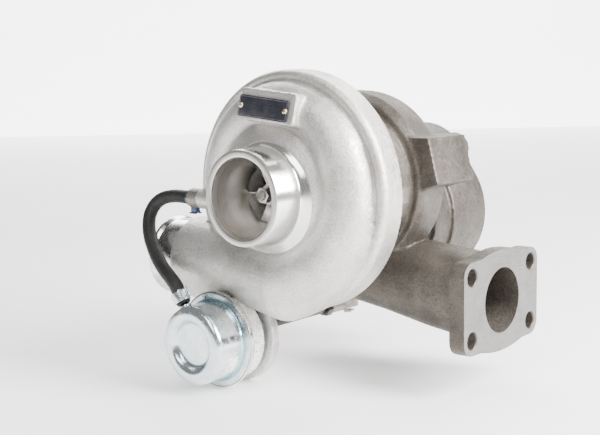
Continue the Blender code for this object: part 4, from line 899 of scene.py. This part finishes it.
def discharge_tube():
    length, bead = 25.2, OUTLET_BEAD_R
    tube = [(OUTLET_BORE_R, 0), (OUTLET_BORE_R, 24.5), (OUTLET_BORE_R + 0.6, length), (OUTLET_R, length)]
    tube += [(bead - 0.3, 23.8), (bead, 22.8), (bead, 21.4), (bead - 0.6, 20.4)]
    tube += [(OUTLET_R, 18.8), (OUTLET_R, 0)]
    body = solid(lathe(rounded(tube, 0.5), 128, (OUTLET_X + length, OUTLET_Y, OUTLET_Z), (-1, 0, 0)))
    show(body, "discharge_tube", "cast_aluminium", look="discharge")


def name_plate():
    body = solid(soft_prism(rounded_outline(*PLATE_HALF, 1.2), -1.1, -0.3, 0.15))
    border = solid(prism(rounded_outline(19.8, 5.95, 0.8), -1.22, -0.9))
    cut(border, prism(rounded_outline(19.5, 5.65, 0.6), -2, 1))
    for side in (-1, 1):
        cut(body, cylinder(1.35, -4, 4, 32, (side * RIVET_X, 0, 0)))
    body.data.transform(plate_frame())
    show(body, "name_plate_sheet", "plate_black", "name_plate")
    border.data.transform(plate_frame())
    show(border, "name_plate_border", "plate_black", look="steel")
    head = [(0, -0.1), (1.0, -0.1), (1.0, -1.25), (1.9, -1.25)]
    head += [(1.8, -1.7), (1.3, -2.15), (0.7, -2.4), (0, -2.45)]
    for number, side in enumerate((-1, 1), 1):
        rivet = solid(lathe(rounded(head, 0.15), 48, (side * RIVET_X, 0, 0)))
        rivet.data.transform(plate_frame())
        show(rivet, f"plate_rivet_head_{number}", "brass", f"plate_rivet_{number}")


# --- turbine housing ------------------------------------------------------------------
def hot_front(radius, section):
    web = HOT_FRONT_Y + 2.5 if radius < 57 else HOT_FRONT_Y + 2.5 + (radius - 57) * 1.6
    height = dip(radius, *section)
    return smooth_least(web, HOT_SCROLL_Y - height, 3.0) if height else web


def hot_profile(travel, _):
    centre, size = section = between(HOT_SCROLL, travel)
    edge = centre + size
    core = 15.0
    profile = [(core, HOT_FRONT_Y - 2), (core, 150.0), (31.5, 150.0), (31.5, 145.5)]
    for share in spans(0.08, 0.97, 0.08):
        radius = 31.5 + (edge - 31.5) * share
        profile.append((radius, HOT_SCROLL_Y + max(dip(radius, centre, size) or 0, 2.0)))
    profile += [(edge, HOT_SCROLL_Y + 1.0), (edge, HOT_SCROLL_Y - 1.0)]
    for share in spans(0.97, 0.06, 0.08):
        radius = 52.5 + (edge - 52.5) * share
        profile.append((radius, hot_front(radius, section)))
    profile += [(HOT_BOLT_R + 0.6, HOT_FRONT_Y + 1.0), (HOT_BOLT_R, HOT_FRONT_Y - 2)]
    return profile


def oval(centre, half_y, half_z, x, sides=80, power=2.6):
    """A rounded box: fuller in its corners than an ellipse."""
    points = []
    for k in range(sides):
        c, s = cos(k * TURN / sides), sin(k * TURN / sides)
        y = copysign(abs(c) ** (2 / power), c) * half_y
        z = copysign(abs(s) ** (2 / power), s) * half_z
        points.append((x, centre[0] + y, centre[1] + z))
    return points


def neck_blank():
    first = HOT_SCROLL[0][1:]
    thick = FLANGE[0] - FLANGE_THICK
    rows = (
        (-6.0, HOT_SCROLL_Y, -first[0] - 2.0, first[1] - 3.0, first[1] - 3.0),
        (25.0, HOT_SCROLL_Y, -62.5, 25.5, 25.0),
        (60.0, 128.0, -67.0, 26.5, 27.5),
        (thick - 4, FLANGE[1] - 0.5, -71.0, 27.5, 28.0),
        (thick + 3, FLANGE[1], FLANGE[2], 29.0, 28.5),
    )
    rings = []
    for a, b in zip(rows, rows[1:]):
        for k in range(8):
            x, y, z, wide, tall = (p + (q - p) * k / 8 for p, q in zip(a, b))
            rings.append(oval((y, z), wide, tall, x))
    x, y, z, wide, tall = rows[-1]
    rings.append(oval((y, z), wide, tall, x))
    return loft(rings)


def flange_outline():
    corners = ((1, 1), (-1, 1), (-1, -1), (1, -1))
    outline = []
    for quarter, (right, top) in enumerate(corners):
        for k in range(13):
            turn = (quarter + k / 12) * pi / 2
            y = right * (FLANGE_HALF_Y - FLANGE_CORNER) + FLANGE_CORNER * cos(turn)
            z = top * (FLANGE_HALF_Z - FLANGE_CORNER) + FLANGE_CORNER * sin(turn)
            outline.append((y, z))
        if quarter in (0, 2):
            for y in spans(25.0, -25.0, 2.5):
                rise = FLANGE_BULGE * max(cos(y / 26 * pi / 2), 0) ** 0.8
                outline.append((y * top, top * (FLANGE_HALF_Z + rise)))
    return outline


def flange_blank():
    turned = [(FLANGE[1] + y, FLANGE[2] + z) for y, z in flange_outline()]
    return loft([[(x, y, z) for y, z in turned] for x in (FLANGE[0] - FLANGE_THICK, FLANGE[0] + 3)])


def hot_passage():
    rings = []
    first = HOT_SCROLL[0][1:]
    for share in (1.03, 1.0, 0.8, 0.6, 0.4, 0.2):
        inner = min(share, 1)
        y = HOT_SCROLL_Y + (FLANGE[1] - HOT_SCROLL_Y) * inner
        z = -first[0] + (FLANGE[2] + first[0]) * inner
        size = first[1] - HOT_WALL
        rings.append(around((FLANGE[0] * share, y, z), (0, 0, -1), size + (PORT_R - size) * inner, 64))
    stations = 44
    for k in range(stations):
        travel = 312 * k / (stations - 1)
        centre, size = between(HOT_SCROLL, travel)
        angle = radians(HOT_TONGUE - travel)
        rings.append(around(polar(centre, HOT_SCROLL_Y, angle), polar(1, 0, angle), size - HOT_WALL, 64))
    return loft(rings)


def hot_blanks():
    return (
        scroll(hot_profile, 150, HOT_TONGUE),
        neck_blank(),
        flange_blank(),
        prism(chamber_hull(-6.0), 126.0, 141.0),
        prism(chamber_hull(-2.5), 140.0, 160.0),
        prism(chamber_hull(0.0), 159.0, CHAMBER_END_Y + 3),
        prism(LUG, 108.0, 152.0),
        cylinder(11.5, 150.0, 181.0, 64, (38.5, 0, 20.0)),
        cylinder(8.5, 60, -BOSS_Z, 48, SPINDLE, (0, 0, -1)),
    )


def hot_bores():
    """The bore on the rotor's axis, the nozzle slot, the milled faces and the wastegate's holes."""
    bore = [(0, 90), (HOT_BORE_R, 90), (HOT_BORE_R, NOZZLE_Y[1]), (27.1, NOZZLE_Y[1])]
    bore += [(26.6, 128), (24.4, 133), (EXDUCER_BORE_R, 138.5), (EXDUCER_BORE_R + 0.4, 160), (0, 160)]
    return (
        lathe(bore, 96),
        ring(HOT_BORE_R - 2, 47.0, *NOZZLE_Y, 96, 0.1),
        cylinder(HOT_FACE_R, 80, HOT_FRONT_Y, 96),
        prism(chamber_hull(-CHAMBER_WALL), SEAT_Y, CHAMBER_END_Y + 10),
        box((-90, CHAMBER_END_Y, -90), (90, CHAMBER_END_Y + 20, 60)),
        box((FLANGE[0], 70, -120), (FLANGE[0] + 20, 190, -20)),
        cylinder(SPINDLE_R + 2.6, 40, 100, 48, SPINDLE, (0, 0, -1)),
        cylinder(VALVE_PORT_R, 132, SEAT_Y + 1, 48, (VALVE_X, 0, VALVE_Z)),
    )


def flange_holes():
    """Four through holes, each with a chamfer at the flange's face."""
    face = FLANGE[0]
    hole = [(0, 80), (FLANGE_HOLE_R, 80), (FLANGE_HOLE_R, face - 0.7)]
    hole += [(FLANGE_HOLE_R + 1.7, face + 1), (0, face + 1)]
    holes = []
    for y in (-1, 1):
        for z in (-1, 1):
            at = (0, FLANGE[1] + y * FLANGE_HOLE_Y, FLANGE[2] + z * FLANGE_HOLE_Z)
            holes.append(lathe(hole, 56, at, (1, 0, 0)))
    return holes


def turbine_housing():
    body = cast(1.0, 5, *hot_blanks())
    cut(body, hot_passage(), *hot_bores(), *flange_holes())

    def is_milled(centre, normal):
        radius = hypot(centre.x, centre.z)
        on_flange = normal.x > 0.9 and centre.x > FLANGE[0] - 0.5
        on_end = normal.y > 0.9 and centre.y > CHAMBER_END_Y - 0.5
        on_front = normal.y < -0.9 and centre.y < HOT_FRONT_Y + 0.1 and radius < HOT_FACE_R + 0.2
        bored = radius < HOT_BORE_R + 0.3 and centre.y < SEAT_Y
        return on_flange or on_end or on_front or bored

    paint(body, ("cast_iron", "milled_iron"), is_milled)
    show(body, "turbine_casting", "cast_iron", "turbine_housing")


# --- rotor ----------------------------------------------------------------------------
def blade(stations, thickness, turn, rows=8, per_span=4):
    """One vane: hub and tip curves run through the stations, with rows of points between."""
    hubs = smooth_path([(r, y, lean) for r, y, _, _, lean in stations], per_span)
    tips = smooth_path([(r, y, lean) for _, _, r, y, lean in stations], per_span)
    rings = []
    for hub, tip in zip(hubs, tips):
        sides = ([], [])
        for k in range(rows + 1):
            share = k / rows
            radius, y, lean = hub.lerp(tip, share)
            angle = turn + radians(lean)
            wide = thickness * (1 - 0.45 * share)
            for side, sign in zip(sides, (-1, 1)):
                side.append(polar(radius, y, angle + sign * wide / 2 / radius))
        rings.append(sides[0] + sides[1][::-1])
    return solid(loft(rings))


def compressor_wheel():
    hub = [(3.4, 26.0), (6.3, 26.0), (7.0, 27.0), (7.6, 34.0), (9.2, 41.0), (13.0, 48.0)]
    hub += [(19.0, 53.2), (25.0, 56.0), (29.4, 57.2), (29.4, 58.1), (22.0, 58.6)]
    hub += [(12.0, 59.6), (8.0, 59.6), (3.4, 59.6)]
    pieces = [solid(lathe(rounded(hub, 1.2), 96))]
    full = (
        (6.4, 28.6, 19.8, 29.0, 0),
        (6.9, 34.0, 19.8, 35.5, 22),
        (8.4, 41.0, 19.8, 41.4, 38),
        (13.5, 49.0, 20.9, 48.2, 50),
        (19.5, 54.2, 24.7, 52.95, 64),
        (28.6, 57.4, 29.3, 54.7, 78),
    )
    for k in range(12):
        pieces.append(blade(full if k % 2 == 0 else full[2:], 0.9, -k * TURN / 12))
    show(together(*pieces), "compressor_impeller", "machined_aluminium", "compressor_wheel", rides="rotor")


def rotor_nose():
    nut = hexagon(9.0, 19.5, 25.4)
    cut(nut, cylinder(3.1, 10, 30, 48))
    washer = solid(ring(3.1, 5.9, 24.4, 25.6, 64, 0.25))
    show(together(nut, washer), "shaft_lock_nut", "steel", "shaft_nut", rides="rotor")


def turbine_wheel():
    bar = [(0, 18.0), (2.4, 18.0), (3.0, 18.6), (3.0, 68.6), (5.0, 68.6), (5.0, 101.0), (9.0, 101.5)]
    bar += [(9.0, 104.6), (7.4, 104.6), (7.4, 106.6), (9.0, 106.6), (9.0, 114.8), (14.0, 115.2)]
    bar += [(23.5, 115.2), (15.0, 120.7)]
    bar += [(11.0, 127.7), (8.6, 136.0), (7.6, 148.0), (5.5, 151.5), (4.6, 151.8), (0, 151.8)]
    pieces = [solid(lathe(rounded(bar, 0.3), 80))]
    rows = (
        (20.0, 115.6, 26.6, 115.7, 0),
        (16.0, 119.2, 26.5, 122.2, 0),
        (10.2, 128.2, 22.8, 132.2, 8),
        (8.0, 136.0, 22.1, 139.0, 22),
        (7.0, 146.5, 22.1, 147.4, 42),
    )
    for k in range(10):
        pieces.append(blade(rows, 1.5, k * TURN / 10))
    show(together(*pieces), "turbine_rotor", "heat_steel", "turbine_shaft", rides="rotor")


# --- actuator -------------------------------------------------------------------------
def wrap(radius, low, high, start, end):
    """A thin patch bent round the actuator, between two angles in degrees."""
    corners = ((radius, low), (radius, high), (radius + 0.15, high), (radius + 0.15, low))
    rings = []
    for angle in spans(start, end, 2.0):
        turn = radians(angle)
        rings.append([polar(r, y, turn) for r, y in corners])
    return solid(moved(loft(rings), ACTUATOR))


def nipple_direction():
    return polar(1, 0, NIPPLE_ANGLE)


def nipple_point(radius):
    return Vector(NIPPLE) + radius * Vector(nipple_direction())


def from_actuator(centre):
    return hypot(centre.x - ACT_X, centre.z - ACT_Z)


def actuator_dome():
    low = RING_Y[0]
    cap = [(0, 4.9), (12.6, 4.9), (14.6, 4.3), (16.2, 1.4), (17.8, 0.3), (21.0, 0), (24.6, 1.0)]
    cap += [(CAP_R, 3.6), (CAP_R, 21.5), (CAP_R + 0.6, low - 0.6), (RING_R - 0.6, low - 0.2)]
    cap += [(RING_R - 0.6, low + 0.9), (24.9, low + 0.9), (24.6, 22.0), (24.6, 4.2), (23.8, 2.6)]
    cap += [(21.5, 1.5), (18.6, 1.7), (15.4, 5.8), (0, 6.0)]
    body = solid(lathe(rounded(cap, 1.3, 4), 144, ACTUATOR))
    cut(body, cylinder(2.3, 15, 30, 32, NIPPLE, nipple_direction()))

    # painted shade: the groove where the cap meets the crimped ring gets a dark teal zinc
    def in_shaded_groove(centre, _):
        return from_actuator(centre) < 28.2 and centre.y > ACT_Y + low - 1.6

    paint(body, ("zinc_plate", "groove_shaded_teal_zinc"), in_shaded_groove)
    show(body, "actuator_dome", "zinc_plate", "actuator_cap")


def actuator_body():
    """The can, its crimped rim and the two studs that hold it to the bracket."""
    (low, high), end = RING_Y, CAN_END_Y
    can = [(4.6, end), (CAN_R - 4.6, end), (CAN_R - 1.4, end - 1.4), (CAN_R, end - 4.6)]
    can += [(CAN_R, high + 1.2), (CAN_R + 0.8, high + 0.2), (RING_R - 0.9, high), (RING_R, high - 1.2)]
    can += [(RING_R, low + 0.2), (RING_R - 0.3, low + 0.2), (RING_R - 0.3, low + 2.6), (27.1, low + 2.6)]
    can += [(27.1, end - 5.0), (23.5, end - 1.4), (4.6, end - 1.4)]
    body = solid(lathe(rounded(can, 0.5), 144, ACTUATOR))
    for side in (-1, 1):
        cut(body, cylinder(1.5, 36, 50, 24, (ACT_X, ACT_Y, ACT_Z + side * 14)))
    studs = [stud((ACT_X + side * STUD_X, ACT_Y, ACT_Z), end - 1.0, 62.0, 2.9) for side in (-1, 1)]
    body = together(body, *studs)
    paint(body, ("cream_zinc", "zinc_plate"), lambda centre, _: from_actuator(centre) < CAN_R + 0.2)
    show(body, "actuator_body", "zinc_plate", "actuator_can")


def actuator_labels():
    show(wrap(CAN_R + 0.02, 30.2, 40.0, -95, 75), "actuator_label_band", "zinc_plate", look="label")
    show(wrap(CAP_R + 0.02, 9.0, 19.5, -42, -14), "actuator_label_small", "zinc_plate", look="label")


def return_spring():
    """The coil inside the can, flat at both ends; it stays where it is drawn."""
    coil, wire, turns, steps, flat = 15.6, 1.2, 5, 32, 21
    low, high = 14.6 + 0.3 + wire, CAN_END_Y - 1.4 - 0.3 - wire
    path = []
    for k in range(steps * turns + 1):
        lift = min(max((k - flat) / (steps * turns - 2 * flat), 0), 1)
        path.append(Vector(polar(coil, low + (high - low) * lift, TURN * k / steps)))
    body = solid(moved(loft(sweep_rings(path, wire, 12)), ACTUATOR))
    body.name = "return_spring"
    body.data.transform(SHAFT)
    body.data.materials.clear()
    body.data.materials.append(LOOKS["spring_steel"])
    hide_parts("actuator_spring")
    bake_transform(body)


def stud(at, low, high, radius):
    """A threaded bar: ridges at the pitch, run out at both ends."""
    pitch, root = 1.0, radius - 0.35
    profile = [(0, low), (radius - 0.5, low), (radius - 0.1, low + 0.5)]
    for k in range(int((high - low - 1.5) / pitch)):
        y = low + 0.9 + k * pitch
        profile += [(radius, y), (radius, y + 0.15 * pitch)]
        profile += [(root, y + 0.5 * pitch), (root, y + 0.6 * pitch)]
    profile += [(radius - 0.5, high), (0, high)]
    return solid(lathe(profile, 40, at))


def actuator_nuts():
    for number, side in enumerate((-1, 1), 1):
        at = (ACT_X + side * STUD_X, 0, ACT_Z)
        nut = hexagon(10.0, BRACKET_Y[1] + 0.3, BRACKET_Y[1] + 5.3, at)
        cut(nut, cylinder(3.2, 40, 60, 40, at))
        show(nut, f"bracket_nut_{number}", "zinc_plate", f"actuator_nut_{number}")


# --- boost hose -----------------------------------------------------------------------
def hose_path():
    start = [(FITTING[0] - step, *FITTING[1:]) for step in (3.9, 12.0, 17.0)]
    finish = [nipple_point(radius) for radius in (44.0, 38.0, 29.0)]
    return smooth_path([*start, *HOSE_ROUTE, *finish], 12)


def boost_hose():
    path = hose_path()
    outside, inside = (sweep_rings(path, radius, 40) for radius in (HOSE_R, HOSE_BORE_R))
    show(solid(loft(outside + inside[::-1], looped=True)), "boost_hose_tube", "hose_rubber", "boost_hose")


def barb(length, start, step=1):
    """A hose tail with rings that grip, running on from a place by its length."""
    tail = HOSE_BORE_R - 0.4
    rows = [(tail - 0.3, start)]
    for k in range(3):
        y = start + step * (2.0 + k * 2.4)
        rows += [(tail - 0.4, y), (tail, y + step * 0.3), (tail - 0.4, y + step * 1.9)]
    return rows + [(tail - 0.8, start + step * length)]


def hose_fittings():
    screw = [(1.2, 14.4), (3.2, 14.4), (3.2, 1.2), (4.9, 1.2), (4.9, -3.2)]
    screw += [*barb(11.0, -3.4, -1), (1.2, -14.4)]
    body = solid(lathe(rounded(screw, 0.2, 2), 64, FITTING, (1, 0, 0)))
    show(body, "hose_tail_upper", "brass", "hose_fitting")
    foot = [(1.1, 26.4), (4.0, 26.4), (4.0, 27.4), (2.4, 28.6), *barb(10.0, 28.7), (1.1, 38.7)]
    body = solid(lathe(rounded(foot, 0.2, 2), 64, NIPPLE, nipple_direction()))
    show(body, "hose_tail_lower", "zinc_plate", "actuator_nipple")


def hose_clamp(name, at, direction, ear_angle, half_width, look):
    """A sprung band with two ears that stand off it, and the lip beside each."""
    inner, outer = HOSE_R + 0.3, HOSE_R + 1.1
    band = [(inner, -half_width), (outer, -half_width), (outer, half_width), (inner, half_width)]
    pieces = [solid(lathe(rounded(band, 0.25), 72))]
    for side in (-1, 1):
        ear = soft_prism(rounded_outline(2.8, 0.6, 0.5), -2.2, 2.2, 0.3, (HOSE_R + 3.2, 0, side * 1.7))
        lip = soft_prism(rounded_outline(0.55, 1.0, 0.4), -3.0, 3.0, 0.3, (HOSE_R + 5.6, 0, side * 2.3))
        pieces += [solid(ear), solid(lip)]
    body = together(*pieces)
    placed = Matrix.Translation(Vector(at)) @ along(direction)
    body.data.transform(placed @ Matrix.Rotation(ear_angle, 4, "Y"))
    show(body, name + "_spring", "zinc_plate", name, look=look)


def hose_clamps():
    upper = (FITTING[0] - 8.6, *FITTING[1:])
    hose_clamp("hose_clamp_upper", upper, (-1, 0, 0), radians(90), 4.5, "blue_steel")
    hose_clamp("hose_clamp_lower", nipple_point(34.0), nipple_direction(), radians(-60), 3.6, "zinc_plate")


# --- CAD pieces that show as they are --------------------------------------------------
DARKER_IN_SHADE = {  # painted shade: pieces that sit in shade between the housings get looks darker than their slot's usual one; numbered ones go by the name before the number
    "actuator_rod": "dark_steel",
    "rod_lock_nut": "dark_steel",
    "rod_end": "heat_steel",
    "turbine_clamp": "heat_steel",
    "turbine_bolt": "dark_steel",
    "backplate_bolt": "dark_steel",
}


def dress_cad_nodes():
    slots = {row["node"]: row["material_slot"] for row in frame["record"]["subparts"]}
    for name, node in frame["nodes"].items():
        if node.hide_render:
            continue
        node.data.materials.clear()
        # painted shade: pieces in shade take the darker looks listed above
        node.data.materials.append(LOOKS[DARKER_IN_SHADE.get(name.rstrip("_0123456789"), slots[name])])
        edge = node.modifiers.new("edge", "BEVEL")
        edge.width = 0.25 * MM
        edge.segments = 2
        edge.limit_method = "ANGLE"
        edge.angle_limit = radians(40)


# --- studio ---------------------------------------------------------------------------
CAMERA_ANGLES = (40.6, 7.75, -1.05)  # azimuth, elevation and roll, in degrees
CAMERA_DISTANCE = 652.0
CAMERA_SHIFT = (36.2, -11.35)  # millimetres right and up of the rotor's mouth
CAMERA_LENS = 64.5


def add_camera():
    azimuth, elevation, roll = (radians(angle) for angle in CAMERA_ANGLES)
    level = cos(elevation)
    ahead = Vector((-sin(azimuth) * level, cos(azimuth) * level, -sin(elevation)))
    right = Vector((cos(azimuth), sin(azimuth), 0))
    up = right.cross(ahead)
    right, up = cos(roll) * right + sin(roll) * up, cos(roll) * up - sin(roll) * right
    place = -ahead * CAMERA_DISTANCE + right * CAMERA_SHIFT[0] + up * CAMERA_SHIFT[1]
    camera = bpy.data.objects.new("camera", bpy.data.cameras.new("camera"))
    camera.data.lens = CAMERA_LENS
    camera.data.clip_start = 0.01
    axes = Matrix((right, up, -ahead)).transposed().to_4x4()
    camera.matrix_world = Matrix.Translation(SHAFT @ place) @ axes
    bpy.context.scene.collection.objects.link(camera)
    bpy.context.scene.camera = camera
    return ahead, right


def area_light(name, at, target, size, power):
    lamp = bpy.data.lights.new(name, "AREA")
    lamp.shape = "RECTANGLE"
    lamp.size, lamp.size_y = size
    lamp.energy = power
    light = bpy.data.objects.new(name, lamp)
    light.location = at
    light.rotation_euler = (Vector(target) - Vector(at)).to_track_quat("-Z", "Y").to_euler()
    bpy.context.scene.collection.objects.link(light)


def sheet(name, size, place, tilt, glowing):
    """A plain white studio surface: the floor, or the wall behind it."""
    shape = bmesh.new()
    bmesh.ops.create_grid(shape, x_segments=1, y_segments=1, size=size)
    body = solid(shape)
    body.name = name
    body.location = place
    body.rotation_euler = tilt
    paper = Look(name + "_paper", 0.85, 0.0)
    paper.colour(paper.ramp(paper.noise(300, 2), (0.86, 0.86, 0.86), (0.90, 0.90, 0.90)))
    paper.shader.inputs["Emission Color"].default_value = (1, 1, 1, 1)
    paper.shader.inputs["Emission Strength"].default_value = glowing
    body.data.materials.append(paper.material)


def studio():
    ahead, right = add_camera()
    low, high = (Vector(corner) for corner in CAD_BOX)
    middle = (low + high) / 2
    floor_z = low.z - 0.0005
    sheet("floor", 6.0, (middle.x, middle.y, floor_z), (0, 0, 0), 0.45)
    behind = middle + 3.0 * Vector((ahead.x, ahead.y, 0)).normalized()
    facing = (pi / 2, 0, radians(CAMERA_ANGLES[0]))
    sheet("wall", 2.5, (behind.x, behind.y, floor_z - 1.7), facing, 3.5)
    world = bpy.data.worlds.new("studio")
    world.use_nodes = True
    world.node_tree.nodes["Background"].inputs["Color"].default_value = (1.0, 1.0, 1.0, 1)
    world.node_tree.nodes["Background"].inputs["Strength"].default_value = 0.3
    bpy.context.scene.world = world
    front, side, top = -ahead, right, Vector((0, 0, 1))
    area_light("key", middle + 0.5 * front + 0.8 * side + 0.5 * top, middle, (0.45, 0.7), 56)
    area_light("window", middle + 0.8 * front - 0.2 * side + 0.7 * top, middle, (0.4, 0.8), 9)
    area_light("rim", middle - 0.6 * front + 0.6 * side + 0.6 * top, middle, (0.6, 0.6), 2.5)
    far = middle - 2.2 * front
    area_light("floor_wash", far + 2.2 * top, far - 0.3 * top, (4, 1.5), 190)


# --- everything -----------------------------------------------------------------------
compressor_housing()
inlet_spigot()
discharge_tube()
name_plate()
turbine_housing()
compressor_wheel()
rotor_nose()
turbine_wheel()
actuator_dome()
actuator_body()
actuator_labels()
return_spring()
actuator_nuts()
boost_hose()
hose_fittings()
hose_clamps()
dress_cad_nodes()
studio()
